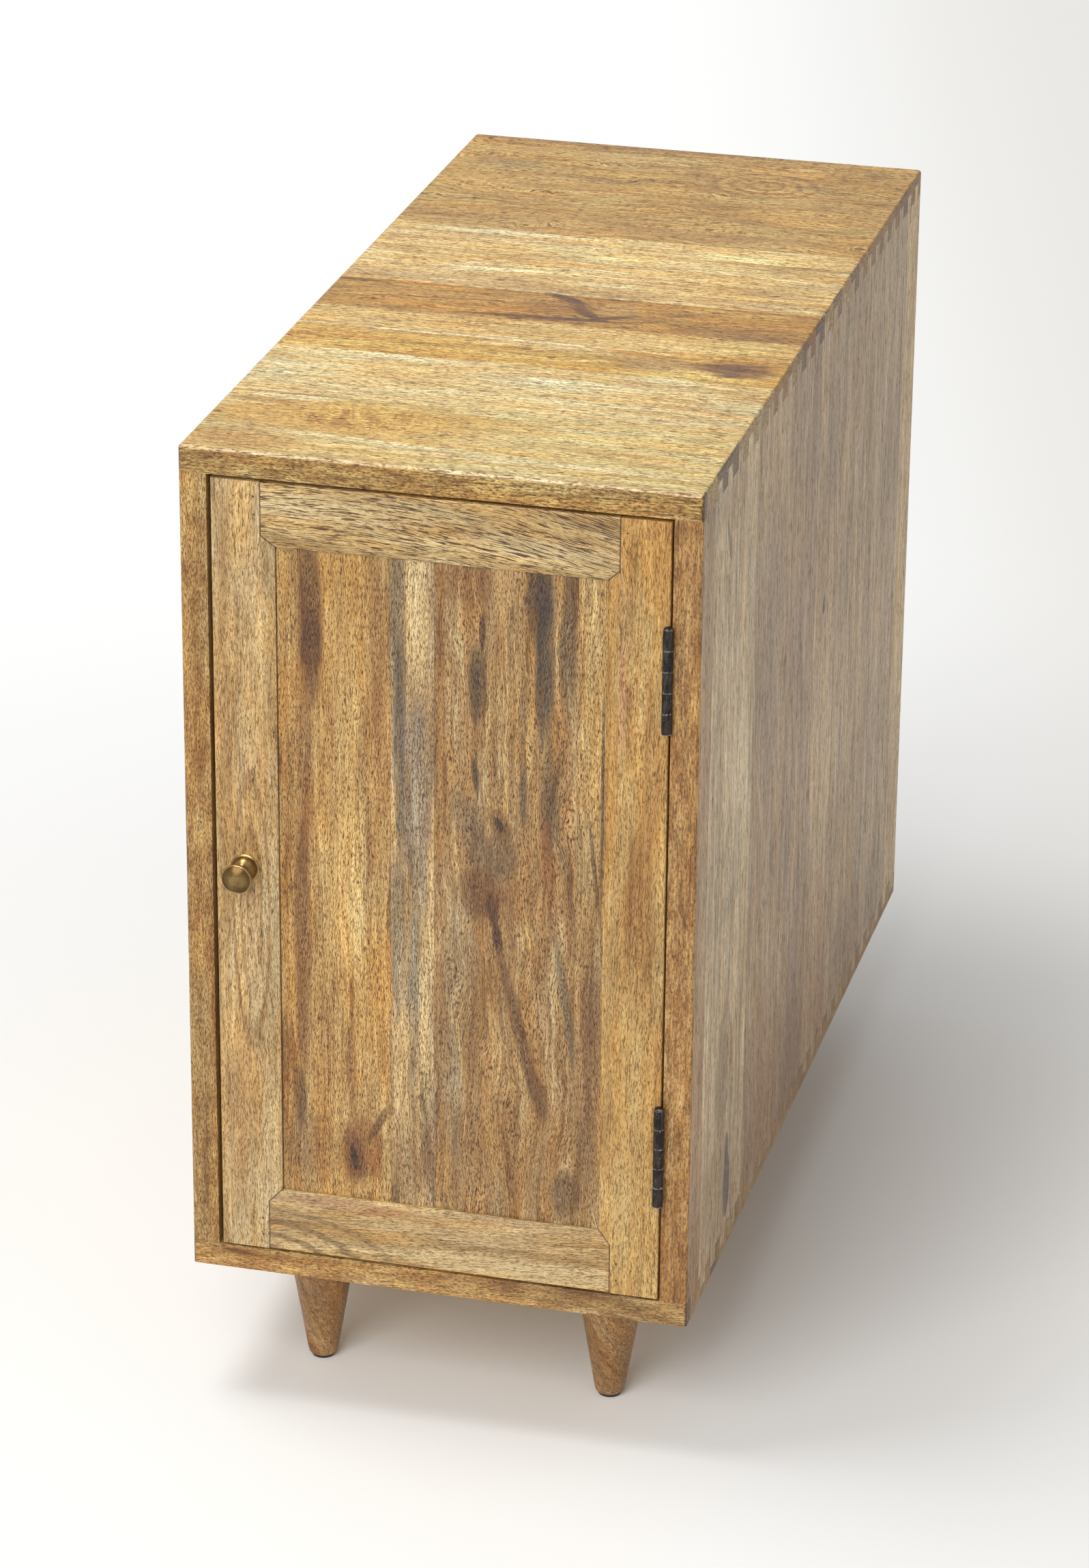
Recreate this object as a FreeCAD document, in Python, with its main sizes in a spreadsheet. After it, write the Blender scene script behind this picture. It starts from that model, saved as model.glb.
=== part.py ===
"""Storage side table with one door: a finger-jointed hardwood case on four turned legs.

Millimetres, +Z up, +X to the right of someone facing the door, -Y towards that person.
The origin is on the floor, under the middle of the table's bounding box.
"""
import FreeCAD, Part
import math
import os
import re
import sys
import Sketcher

V = FreeCAD.Vector

# ---------------------------------------------------------------- driving dimensions
SIZES = [
    # case
    ("case_width", 306.0),
    ("case_depth", 648.0),
    ("case_height", 525.0),
    ("foot_height", 90.0),
    ("side_thickness", 16.5),
    ("top_thickness", 15.8),
    ("bottom_thickness", 15.2),
    ("case_arris", 2.2),
    # finger joint: tongues on the sides, notches in the top and bottom boards
    ("tongue_count", 24),
    ("tongue_width", 12.95),
    ("tongue_pitch", 26.9),
    ("tongue_height", 9.6),
    ("top_first_tongue", 8.2),
    ("bottom_first_tongue", 10.2),
    # back panel in its rebate
    ("back_thickness", 6.0),
    ("back_lap", 8.0),
    ("back_screw_inset", 4.0),
    ("back_screw_head", 3.0),
    ("back_screw_radius", 1.6),
    ("back_screw_length", 18.0),
    ("back_screw_rise", 189.0),
    # shelf on four pegs
    ("shelf_thickness", 14.0),
    ("shelf_side_gap", 0.5),
    ("shelf_setback", 45.0),
    ("shelf_level", 240.0),
    ("peg_radius", 2.5),
    ("peg_in_board", 8.0),
    ("peg_out", 9.0),
    ("peg_setback", 60.0),
    # door
    ("door_thickness", 19.0),
    ("gap_latch", 2.4),
    ("gap_hinge", 1.3),
    ("gap_top", 2.0),
    ("gap_bottom", 1.1),
    ("door_arris", 1.1),
    ("stile_width", 37.0),
    ("rail_width", 39.5),
    ("bevel_width", 7.5),
    ("bevel_depth", 3.2),
    ("panel_recess", 4.6),
    ("panel_thickness", 9.0),
    ("panel_side_gap", 0.8),
    ("tenon_length", 20.0),
    ("tenon_thickness", 7.0),
    ("tenon_width", 24.0),
    ("tenon_inset", 4.0),
    ("tenon_recess", 5.6),
    ("tenon_pin_radius", 0.8),
    ("tenon_pin_length", 14.0),
    ("tenon_pin_inset", 4.0),
    ("tenon_pin_low", 9.0),
    ("tenon_pin_high", 20.0),
    # knob
    ("knob_inset", 17.6),
    ("knob_level", 266.5),
    ("knob_reach", 20.6),
    ("knob_base_radius", 8.9),
    ("knob_neck_radius", 4.1),
    ("knob_cap_radius", 9.2),
    ("knob_flange", 1.1),
    ("knob_dome_radius", 7.7),
    ("knob_dome_end", 7.4),
    ("knob_neck_end", 10.6),
    ("knob_flare_end", 15.7),
    ("knob_rim_end", 18.0),
    ("knob_screw_radius", 2.0),
    ("knob_screw_head", 4.2),
    ("knob_screw_head_height", 2.4),
    ("knob_screw_bite", 8.0),
    # butt hinges
    ("hinge_length", 63.5),
    ("hinge_spacing", 300.8),
    ("barrel_radius", 3.1),
    ("bore_radius", 1.55),
    ("hinge_pin_radius", 1.45),
    ("hinge_pin_head", 2.1),
    ("hinge_pin_head_height", 1.5),
    ("axis_stand_off", 3.4),
    ("axis_inset", 0.3),
    ("knuckle_count", 5),
    ("knuckle_gap", 0.2),
    ("leaf_thickness", 1.1),
    ("leaf_width", 16.0),
    ("leaf_let_in", 0.6),
    ("leaf_screw_radius", 1.4),
    ("leaf_screw_head", 2.5),
    ("leaf_screw_length", 13.0),
    ("leaf_screw_spacing", 21.6),
    ("leaf_screw_near", 6.7),
    ("leaf_screw_far", 10.9),
    # magnetic catch
    ("catch_width", 46.0),
    ("catch_depth", 15.0),
    ("catch_height", 13.6),
    ("catch_across", -74.0),
    ("catch_pocket", 30.0),
    ("magnet_thickness", 4.0),
    ("pole_thickness", 1.4),
    ("pole_depth", 10.0),
    ("pole_proud", 1.0),
    ("pole_air_gap", 0.3),
    ("strike_width", 38.0),
    ("strike_height", 9.0),
    ("strike_thickness", 1.2),
    ("catch_screw_head", 2.8),
    ("catch_screw_radius", 1.5),
    ("catch_screw_bite", 9.0),
    ("strike_screw_head", 2.4),
    ("strike_screw_radius", 1.3),
    ("strike_screw_length", 9.0),
    ("strike_screw_across", 11.4),
    # legs
    ("leg_inset_across", 61.5),
    ("leg_inset_deep", 66.0),
    ("leg_top_radius", 23.2),
    ("leg_foot_radius", 8.9),
    ("bolt_radius", 4.0),
    ("bolt_in_leg", 32.0),
    ("bolt_in_board", 12.0),
    ("glide_radius", 7.2),
    ("glide_thickness", 2.0),
    ("glide_sides", 24),
    ("stem_radius", 2.2),
    ("stem_length", 14.0),
    # prisms that stand for small screws, pins and bolts
    ("small_sides", 6),
    ("bolt_sides", 8),
    ("bore_sides", 12),
    ("screw_head_share", 0.28),
]

# ---------------------------------------------------------------- places, as formulas of the sizes
INNER_X = "(case_width/2 - side_thickness)"
FRONT_Y = "(knob_reach/2 - case_depth/2)"
BACK_Y = "(knob_reach/2 + case_depth/2)"
INSIDE_LOW = "(foot_height + bottom_thickness)"
INSIDE_HIGH = "(foot_height + case_height - top_thickness)"
DOOR_LEFT = "(gap_latch - case_width/2 + side_thickness)"
DOOR_RIGHT = "(case_width/2 - side_thickness - gap_hinge)"
DOOR_LOW = "(foot_height + bottom_thickness + gap_bottom)"
DOOR_HIGH = "(foot_height + case_height - top_thickness - gap_top)"
DOOR_BACK = "(knob_reach/2 - case_depth/2 + door_thickness)"
STILE_FLAT = "(stile_width - bevel_width)"
RAIL_FLAT = "(rail_width - bevel_width)"
AXIS_X = "(case_width/2 - side_thickness - gap_hinge - axis_inset)"
AXIS_Y = "(knob_reach/2 - case_depth/2 - axis_stand_off)"
SHELF_LOW = "(foot_height + bottom_thickness + shelf_level)"
KNOB_X = "(gap_latch - case_width/2 + side_thickness + knob_inset)"
KNOB_Z = "(foot_height + knob_level)"

doc = FreeCAD.newDocument("SideTable")


def make_sheet():
    """The sheet of driving dimensions: a name and a plain number in each row."""
    made = doc.addObject("Spreadsheet::Sheet", "Sizes")
    for row, (alias, value) in enumerate(SIZES, start=1):
        made.set("A%d" % row, alias)
        made.set("B%d" % row, str(value))
        made.setAlias("B%d" % row, alias)
    doc.recompute()
    return made


sheet = make_sheet()
ALIASES = {alias for alias, _ in SIZES}


def formula(text):
    """A formula of sheet names, as an expression that FreeCAD reads."""
    return re.sub(r"[a-z_]+[a-z]", lambda m: "Sizes." + m.group(0) if m.group(0) in ALIASES else m.group(0),
                  str(text))


def value(text):
    """What a formula is worth now, in millimetres."""
    return float(sheet.evalExpression(formula(text)))


def bind(obj, prop, text):
    obj.setExpression(prop, formula(text))


def put(obj, at, rotation=None):
    """Place an object at three formulas, turned if asked."""
    obj.Placement = FreeCAD.Placement(V(0, 0, 0), rotation or FreeCAD.Rotation())
    for axis, text in zip("xyz", at):
        bind(obj, "Placement.Base." + axis, text)


# ---------------------------------------------------------------- Part primitives and booleans
ALONG = {
    "+x": FreeCAD.Rotation(V(0, 1, 0), 90),
    "-x": FreeCAD.Rotation(V(0, 1, 0), -90),
    "+y": FreeCAD.Rotation(V(1, 0, 0), -90),
    "-y": FreeCAD.Rotation(V(1, 0, 0), 90),
    "+z": FreeCAD.Rotation(),
    "-z": FreeCAD.Rotation(V(1, 0, 0), 180),
}


def box(name, at, size):
    made = doc.addObject("Part::Box", name)
    for prop, text in zip(("Length", "Width", "Height"), size):
        bind(made, prop, text)
    put(made, at)
    return made


def rod(name, at, along, radius, length):
    made = doc.addObject("Part::Cylinder", name)
    bind(made, "Radius", radius)
    bind(made, "Height", length)
    put(made, at, ALONG[along])
    return made


def prism(name, at, along, radius, length, sides="small_sides"):
    """A small round shank with few faces, as a regular prism."""
    made = doc.addObject("Part::Prism", name)
    bind(made, "Polygon", sides)
    bind(made, "Circumradius", radius)
    bind(made, "Height", length)
    put(made, at, ALONG[along])
    return made


def fuse(name, pieces):
    made = doc.addObject("Part::MultiFuse", name)
    made.Shapes = pieces
    made.Refine = True
    return made


def group(name, pieces):
    made = doc.addObject("Part::Compound", name)
    made.Links = pieces
    return made


def cut(name, base, tools):
    made = doc.addObject("Part::Cut", name)
    made.Base = base
    made.Tool = tools[0] if len(tools) == 1 else fuse(name + "_tools", tools)
    return made


def shifted(at, along, text):
    """The point at a distance from another, along one of the six directions."""
    axis = "xyz".index(along[1])
    moved = list(at)
    moved[axis] = "(%s %s (%s))" % (moved[axis], along[0], text)
    return moved


def wood_screw(name, at, along, head_radius, shank_radius, length):
    """A screw whose head is sunk flush at the given point and which runs along the direction."""
    sink = "(screw_head_share * %s)" % head_radius
    head = prism(name + "_head", at, along, head_radius, sink)
    shank = prism(name + "_shank", shifted(at, along, sink), along, shank_radius, "%s - %s" % (length, sink))
    return fuse(name, [head, shank])


# ---------------------------------------------------------------- PartDesign helpers
PLANE_AXES = {"XY_Plane": (0, 1, 2, 1), "XZ_Plane": (0, 2, 1, -1), "YZ_Plane": (1, 2, 0, 1)}


def new_body(name):
    return doc.addObject("PartDesign::Body", name)


def new_sketch(body, name, plane, at):
    """A sketch on one of its body's origin planes, with its own origin at a point of the row frame."""
    sketch = body.newObject("Sketcher::SketchObject", name)
    support = [f for f in body.Origin.OriginFeatures if f.Role == plane][0]
    sketch.AttachmentSupport = [(support, "")]
    sketch.MapMode = "FlatFace"
    first, second, third, sign = PLANE_AXES[plane]
    bind(sketch, "AttachmentOffset.Base.x", at[first])
    bind(sketch, "AttachmentOffset.Base.y", at[second])
    bind(sketch, "AttachmentOffset.Base.z", at[third] if sign > 0 else "-(%s)" % at[third])
    return sketch


def pin_point(sketch, geometry, end, across, up):
    """Hold one end of a line or arc at two formulas from the sketch's origin."""
    for kind, text in (("DistanceX", across), ("DistanceY", up)):
        index = sketch.addConstraint(Sketcher.Constraint(kind, -1, 1, geometry, end, value(text)))
        bind(sketch, "Constraints[%d]" % index, text)


def arc_middle(start, end, radius, side):
    """The middle point of the shorter arc between two points, bulging to the left (+1) or right (-1)."""
    chord = end - start
    half = chord.Length / 2
    normal = V(-chord.y, chord.x, 0).normalize()
    rise = radius - math.sqrt(max(radius * radius - half * half, 0.0))
    return (start + end) * 0.5 + normal * (rise * side)


def outline(sketch, steps):
    """Draw a closed outline.

    A step is (x, y) for a line to that corner, or (x, y, radius, side) for an arc to it.
    """
    corners = [V(value(step[0]), value(step[1]), 0) for step in steps]
    ends = []
    for number, step in enumerate(steps):
        start, end = corners[number - 1], corners[number]
        if len(step) == 2:
            geometry = sketch.addGeometry(Part.LineSegment(start, end))
            ends.append((geometry, 1, 2))
            continue
        middle = arc_middle(start, end, value(step[2]), step[3])
        geometry = sketch.addGeometry(Part.Arc(start, middle, end))
        first_gap = (sketch.getPoint(geometry, 1) - start).Length
        forward = first_gap < (sketch.getPoint(geometry, 2) - start).Length
        ends.append((geometry, 1, 2) if forward else (geometry, 2, 1))
    for number, (geometry, _, last) in enumerate(ends):
        following, first, _ = ends[(number + 1) % len(ends)]
        sketch.addConstraint(Sketcher.Constraint("Coincident", geometry, last, following, first))
        pin_point(sketch, geometry, last, steps[number][0], steps[number][1])
        if len(steps[number]) == 4:
            index = sketch.addConstraint(Sketcher.Constraint("Radius", geometry, value(steps[number][2])))
            bind(sketch, "Constraints[%d]" % index, steps[number][2])


def rectangle(sketch, low, high):
    """A rectangle between two corners, given as pairs of formulas."""
    outline(sketch, [(high[0], low[1]), (high[0], high[1]), (low[0], high[1]), (low[0], low[1])])


def pad(body, name, sketch, length, reverse=False):
    made = body.newObject("PartDesign::Pad", name)
    made.Profile = sketch
    made.Reversed = reverse
    bind(made, "Length", length)
    return made


def pocket(body, name, sketch, length, reverse=False):
    made = body.newObject("PartDesign::Pocket", name)
    made.Profile = sketch
    made.Reversed = reverse
    bind(made, "Length", length)
    return made


def revolve(body, name, sketch, axis):
    made = body.newObject("PartDesign::Revolution", name)
    made.Profile = sketch
    made.ReferenceAxis = (sketch, [axis])
    made.Angle = 360
    return made


def repeat_back(body, name, features):
    """Repeat features from the front of the case to the back, at the finger joint's pitch."""
    made = body.newObject("PartDesign::LinearPattern", name)
    made.Originals = features
    made.Direction = ([f for f in body.Origin.OriginFeatures if f.Role == "Y_Axis"][0], [""])
    bind(made, "Length", "tongue_pitch * (tongue_count - 1)")
    bind(made, "Occurrences", "tongue_count")
    body.Tip = made
    return made


def soften(body, name, base, radius, wanted):
    """Round the edges of a feature whose middle point and direction pass a test."""
    doc.recompute()
    names = []
    for number, edge in enumerate(base.Shape.Edges, start=1):
        if edge.Curve.TypeId != "Part::GeomLine":
            continue
        middle = (edge.Vertexes[0].Point + edge.Vertexes[1].Point) * 0.5
        direction = (edge.Vertexes[1].Point - edge.Vertexes[0].Point).normalize()
        if wanted(middle, direction):
            names.append("Edge%d" % number)
    made = body.newObject("PartDesign::Fillet", name)
    made.Base = (base, names)
    bind(made, "Radius", radius)
    body.Tip = made
    return made


def near(first, second):
    return abs(first - second) < 0.01


# ---------------------------------------------------------------- hardware, which also cuts its own seats
def make_back_screws():
    """Screws down both sides of the back panel, into the shoulder of its rebate."""
    made = []
    side_x = "(%s + back_screw_inset)" % INNER_X
    middle = "(foot_height + case_height/2)"
    levels = ("(%s - back_screw_rise)" % middle, middle, "(%s + back_screw_rise)" % middle)
    places = [(sign + side_x, level) for sign in ("-", "") for level in levels]
    for number, (across, level) in enumerate(places, start=1):
        made.append(wood_screw("back_screw_%d" % number, (across, BACK_Y, level), "-y", "back_screw_head",
                               "back_screw_radius", "back_screw_length"))
    return group("back_screws", made)


def make_shelf_pegs():
    """Four steel pegs in the sides, which carry the shelf."""
    made = []
    level = "(%s - peg_radius)" % SHELF_LOW
    for side, along, sign in (("left", "+x", "-"), ("right", "-x", "")):
        start = "(%s(%s + peg_in_board))" % (sign, INNER_X)
        for end, deep in (("front", "(%s + peg_setback)" % FRONT_Y), ("back", "(%s - peg_setback)" % BACK_Y)):
            made.append(prism("%s_%s_peg" % (end, side), (start, deep, level), along, "peg_radius",
                              "peg_in_board + peg_out", "bolt_sides"))
    return group("shelf_pegs", made)


LEG_PLACES = [
    ("front_left", "(leg_inset_across - case_width/2)", "(%s + leg_inset_deep)" % FRONT_Y),
    ("front_right", "(case_width/2 - leg_inset_across)", "(%s + leg_inset_deep)" % FRONT_Y),
    ("back_left", "(leg_inset_across - case_width/2)", "(%s - leg_inset_deep)" % BACK_Y),
    ("back_right", "(case_width/2 - leg_inset_across)", "(%s - leg_inset_deep)" % BACK_Y),
]


def make_hanger_bolts():
    """A bolt up from each leg into the bottom board."""
    made = [prism(name + "_bolt", (across, deep, "foot_height - bolt_in_leg"), "+z", "bolt_radius",
                  "bolt_in_leg + bolt_in_board", "bolt_sides") for name, across, deep in LEG_PLACES]
    return group("hanger_bolts", made)


def make_stems():
    """The moulded stems that hold the glides in the feet of the legs."""
    return [prism(name + "_stem", (across, deep, "glide_thickness"), "+z", "stem_radius", "stem_length")
            for name, across, deep in LEG_PLACES]


def make_tenon_pins():
    """Two slim pins through each tenon, driven in from the face of the stile."""
    made = []
    left = "(%s + %s - tenon_pin_inset)" % (DOOR_LEFT, STILE_FLAT)
    right = "(%s - %s + tenon_pin_inset)" % (DOOR_RIGHT, STILE_FLAT)
    for side, across in (("left", left), ("right", right)):
        for offset in ("tenon_pin_low", "tenon_pin_high"):
            levels = (("low", "(%s + %s)" % (DOOR_LOW, offset)), ("high", "(%s - %s)" % (DOOR_HIGH, offset)))
            for end, level in levels:
                made.append(prism("%s_%s_%s" % (side, end, offset), (across, FRONT_Y, level), "+y",
                                  "tenon_pin_radius", "tenon_pin_length"))
    return group("tenon_pins", made)


def make_knob_screw():
    """A pan-head machine screw from the back of the stile into the knob."""
    head = prism("knob_screw_pan", (KNOB_X, DOOR_BACK, KNOB_Z), "+y", "knob_screw_head",
                 "knob_screw_head_height", "bolt_sides")
    inside_head = "(%s + knob_screw_head_height/2)" % DOOR_BACK
    shank = prism("knob_screw_shank", (KNOB_X, inside_head, KNOB_Z), "-y", "knob_screw_radius",
                  "door_thickness + knob_screw_bite + knob_screw_head_height/2", "bolt_sides")
    return fuse("knob_screw", [head, shank])


def leaf_screws(name, level, x, along):
    """The three countersunk screws of one hinge leaf, the middle one set further from the barrel."""
    made = []
    places = (("- leaf_screw_spacing", "leaf_screw_near"), ("", "leaf_screw_far"),
              ("+ leaf_screw_spacing", "leaf_screw_near"))
    for number, (rise, deep) in enumerate(places, start=1):
        at = (x, "(%s + %s)" % (FRONT_Y, deep), "(%s %s)" % (level, rise))
        made.append(wood_screw("%s_%d" % (name, number), at, along, "leaf_screw_head", "leaf_screw_radius",
                               "leaf_screw_length"))
    return group(name, made)


def knuckles(name, level, numbers, neck_x):
    """The curled knuckles of one leaf, with the neck that joins each to the flat of the leaf."""
    made = []
    pitch = "((hinge_length + knuckle_gap)/knuckle_count)"
    for number in numbers:
        low = "(%s - hinge_length/2 + %d*%s)" % (level, number, pitch)
        tall = "(%s - knuckle_gap)" % pitch
        made.append(rod("%s_knuckle_%d" % (name, number), (AXIS_X, AXIS_Y, low), "+z", "barrel_radius", tall))
        made.append(box("%s_neck_%d" % (name, number), (neck_x, AXIS_Y, low),
                        ("leaf_thickness", "axis_stand_off", tall)))
    return made


def make_hinge(place, level):
    """One five-knuckle butt hinge: two leaves, a pin and the screws of each leaf."""
    low = "(%s - hinge_length/2)" % level
    frame_x = "(%s + leaf_let_in - leaf_thickness)" % INNER_X
    door_x = "(%s - leaf_let_in)" % DOOR_RIGHT
    flat = ("leaf_thickness", "leaf_width", "hinge_length")
    bore = prism(place + "_hinge_bore", (AXIS_X, AXIS_Y, "%s - 1" % low), "+z", "bore_radius",
                 "hinge_length + 2", "bore_sides")
    frame_flat = box(place + "_frame_flat", (frame_x, FRONT_Y, low), flat)
    door_flat = box(place + "_door_flat", (door_x, FRONT_Y, low), flat)
    frame_screws = leaf_screws(place + "_hinge_frame_screws", level, frame_x, "+x")
    door_screws = leaf_screws(place + "_hinge_door_screws", level, "(%s + leaf_thickness)" % door_x, "-x")
    frame_knuckles = knuckles(place + "_frame", level, (0, 2, 4), frame_x)
    door_knuckles = knuckles(place + "_door", level, (1, 3), door_x)
    frame_solid = fuse(place + "_frame_solid", [frame_flat] + frame_knuckles)
    door_solid = fuse(place + "_door_solid", [door_flat] + door_knuckles)
    frame_leaf = cut(place + "_hinge_frame_leaf", frame_solid, [bore, frame_screws])
    door_leaf = cut(place + "_hinge_door_leaf", door_solid, [bore, door_screws])
    shank = rod(place + "_pin_shank", (AXIS_X, AXIS_Y, low), "+z", "hinge_pin_radius",
                "hinge_length + hinge_pin_head_height/2")
    head = prism(place + "_pin_head", (AXIS_X, AXIS_Y, "%s + hinge_length" % low), "+z", "hinge_pin_head",
                 "hinge_pin_head_height", "bolt_sides")
    pin = fuse(place + "_hinge_pin", [shank, head])
    return {"nodes": [frame_leaf, door_leaf, pin, frame_screws, door_screws],
            "board_cuts": [frame_flat, frame_screws], "stile_cuts": [door_flat, door_screws]}


# ---------------------------------------------------------------- magnetic catch
POLE_FACE = "(%s + strike_thickness + pole_air_gap)" % DOOR_BACK
CATCH_FACE = "(%s + pole_proud)" % POLE_FACE
CATCH_MIDDLE = "(%s - catch_height/2)" % INSIDE_HIGH


def make_catch():
    """A magnet between two steel plates, in a plastic housing under the top board, and its strike plate."""
    left = "(catch_across - catch_width/2)"
    pocket_left = "(catch_across - catch_pocket/2)"
    stack = "(magnet_thickness + 2*pole_thickness)"
    stack_low = "(%s - %s/2)" % (CATCH_MIDDLE, stack)
    shell = box("catch_shell", (left, CATCH_FACE, "%s - catch_height" % INSIDE_HIGH),
                ("catch_width", "catch_depth", "catch_height"))
    hollow = box("catch_hollow", (pocket_left, CATCH_FACE, stack_low),
                 ("catch_pocket", "pole_depth - pole_proud", stack))
    screws = []
    for side, sign in (("left", "-"), ("right", "+")):
        at = ("(catch_across %s (catch_width + catch_pocket)/4)" % sign, "(%s + catch_depth/2)" % CATCH_FACE,
              "(%s - catch_height)" % INSIDE_HIGH)
        screws.append(wood_screw("catch_screw_" + side, at, "+z", "catch_screw_head", "catch_screw_radius",
                                 "catch_height + catch_screw_bite"))
    catch_screws = group("catch_screws", screws)
    housing = cut("catch_housing", shell, [hollow, catch_screws])
    magnet = box("catch_magnet", (pocket_left, CATCH_FACE, "%s + pole_thickness" % stack_low),
                 ("catch_pocket", "pole_depth - pole_proud", "magnet_thickness"))
    plates = []
    for name, height in (("low", stack_low), ("high", "%s + pole_thickness + magnet_thickness" % stack_low)):
        plates.append(box("pole_" + name, (pocket_left, POLE_FACE, height),
                          ("catch_pocket", "pole_depth", "pole_thickness")))
    poles = group("catch_pole_plates", plates)
    strike_low = "(%s - strike_height/2)" % CATCH_MIDDLE
    blank = box("strike_blank", ("(catch_across - strike_width/2)", DOOR_BACK, strike_low),
                ("strike_width", "strike_thickness", "strike_height"))
    heads = []
    strike_back = "(%s + strike_thickness)" % DOOR_BACK
    for side, sign in (("left", "-"), ("right", "+")):
        at = ("(catch_across %s strike_screw_across)" % sign, strike_back, CATCH_MIDDLE)
        heads.append(wood_screw("strike_screw_" + side, at, "-y", "strike_screw_head", "strike_screw_radius",
                                "strike_screw_length"))
    strike_screws = group("strike_screws", heads)
    strike = cut("strike_plate", blank, [strike_screws])
    return [housing, magnet, poles, catch_screws, strike, strike_screws]


# ---------------------------------------------------------------- case boards
def make_flat_board(name, low, thickness, first_tongue, underneath):
    """The top or bottom board: full width, notched at both ends, rebated for the back panel.

    The notches open on the inside face and the ends; a thin web is left on the outside face.
    """
    body = new_body(name + "_blank")
    plan = new_sketch(body, name + "_plan", "XY_Plane", ("0", FRONT_Y, low))
    rectangle(plan, ("-case_width/2", "0"), ("case_width/2", "case_depth"))
    slab = pad(body, name + "_slab", plan, thickness)
    doc.recompute()
    outside = slab.Shape.BoundBox.ZMin if underneath else slab.Shape.BoundBox.ZMax
    soften(body, name + "_arris", slab, "case_arris",
           lambda middle, way: near(abs(way.z), 1) or (near(middle.z, outside) and not underneath))
    inside = "(%s + %s)" % (low, thickness) if underneath else low
    notch_plan = new_sketch(body, name + "_notches_plan", "XY_Plane",
                            ("0", "(%s + %s)" % (FRONT_Y, first_tongue), inside))
    rectangle(notch_plan, ("-case_width/2 - 1", "0"), ("-" + INNER_X, "tongue_width"))
    rectangle(notch_plan, (INNER_X, "0"), ("case_width/2 + 1", "tongue_width"))
    notch = pocket(body, name + "_notch", notch_plan, "tongue_height", reverse=not underneath)
    repeat_back(body, name + "_notches", [notch])
    rebate_plan = new_sketch(body, name + "_rebate_plan", "XY_Plane", ("0", BACK_Y, inside))
    half_back = "(%s + back_lap)" % INNER_X
    rectangle(rebate_plan, ("-" + half_back, "-back_thickness"), (half_back, "1"))
    pocket(body, name + "_rebate", rebate_plan, "back_lap", reverse=not underneath)
    doc.recompute()
    return body


def make_side_board(name, sign):
    """A side board: its tongues stand up into the top board and down into the bottom board."""
    body = new_body(name + "_blank")
    outer = "%scase_width/2" % sign
    inner = "%s%s" % (sign, INNER_X)
    low_x, high_x = (outer, inner) if sign == "-" else (inner, outer)
    plan = new_sketch(body, name + "_plan", "XY_Plane", ("0", FRONT_Y, INSIDE_LOW))
    rectangle(plan, (low_x, "0"), (high_x, "case_depth"))
    core = pad(body, name + "_core", plan, "%s - %s" % (INSIDE_HIGH, INSIDE_LOW))
    doc.recompute()
    outer_x = value(outer)
    soften(body, name + "_arris", core, "case_arris",
           lambda middle, way: near(abs(way.z), 1) and near(middle.x, outer_x))
    rebate_plan = new_sketch(body, name + "_rebate_plan", "XY_Plane", ("0", BACK_Y, INSIDE_LOW))
    lap = "%s(%s + back_lap)" % (sign, INNER_X)
    rebate_low, rebate_high = (lap, inner) if sign == "-" else (inner, lap)
    rectangle(rebate_plan, (rebate_low, "-back_thickness"), (rebate_high, "1"))
    pocket(body, name + "_rebate", rebate_plan, "%s - %s" % (INSIDE_HIGH, INSIDE_LOW), reverse=True)
    pads = []
    for end, level, start, down in (("upper", INSIDE_HIGH, "top_first_tongue", False),
                                    ("lower", INSIDE_LOW, "bottom_first_tongue", True)):
        tongue_plan = new_sketch(body, "%s_%s_tongue_plan" % (name, end), "XY_Plane",
                                 ("0", "(%s + %s)" % (FRONT_Y, start), level))
        rectangle(tongue_plan, (low_x, "0"), (high_x, "tongue_width"))
        pads.append(pad(body, "%s_%s_tongue" % (name, end), tongue_plan, "tongue_height", reverse=down))
    repeat_back(body, name + "_tongues", pads)
    doc.recompute()
    return body


# ---------------------------------------------------------------- door frame
def section_steps(width, sign):
    """A stile's or rail's section: flat face, bevel, step and panel groove. Sizes run from the outer edge."""
    groove_end = "(panel_recess + panel_thickness)"

    def across(text):
        return "%s(%s)" % (sign, text)

    flat = "%s - bevel_width" % width
    return [
        (across("door_arris"), "0"),
        (across(flat), "0"),
        (across(width), "bevel_depth"),
        (across(width), "panel_recess"),
        (across(flat), "panel_recess"),
        (across(flat), groove_end),
        (across(width), groove_end),
        (across(width), "door_thickness"),
        (across("0"), "door_thickness"),
        (across("0"), "door_arris"),
    ]


def make_stile(name, outer, sign):
    """An upright of the door frame, cut back to its flat at both ends where the rails meet it."""
    body = new_body(name + "_blank")
    plan = new_sketch(body, name + "_section", "XY_Plane", (outer, FRONT_Y, DOOR_LOW))
    steps = section_steps("stile_width", sign)
    corner_side = -1 if sign == "" else 1
    steps[0] = steps[0] + ("door_arris", corner_side)
    outline(plan, steps)
    pad(body, name + "_length", plan, "%s - %s" % (DOOR_HIGH, DOOR_LOW))
    for end, level, way in (("low", DOOR_LOW, ""), ("high", DOOR_HIGH, "-")):
        cope = new_sketch(body, "%s_%s_cope_plan" % (name, end), "XZ_Plane", (outer, FRONT_Y, level))
        flat = "%s(%s)" % (sign, STILE_FLAT)
        past = "%s(stile_width + 1)" % sign
        outline(cope, [
            (flat, "%s(%s)" % (way, RAIL_FLAT)),
            ("%s(stile_width)" % sign, "%s(rail_width)" % way),
            (past, "%s(rail_width)" % way),
            (past, "%s(-1)" % way),
            (flat, "%s(-1)" % way),
        ])
        pocket(body, "%s_%s_cope" % (name, end), cope, "door_thickness + 1")
    doc.recompute()
    return body


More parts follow.
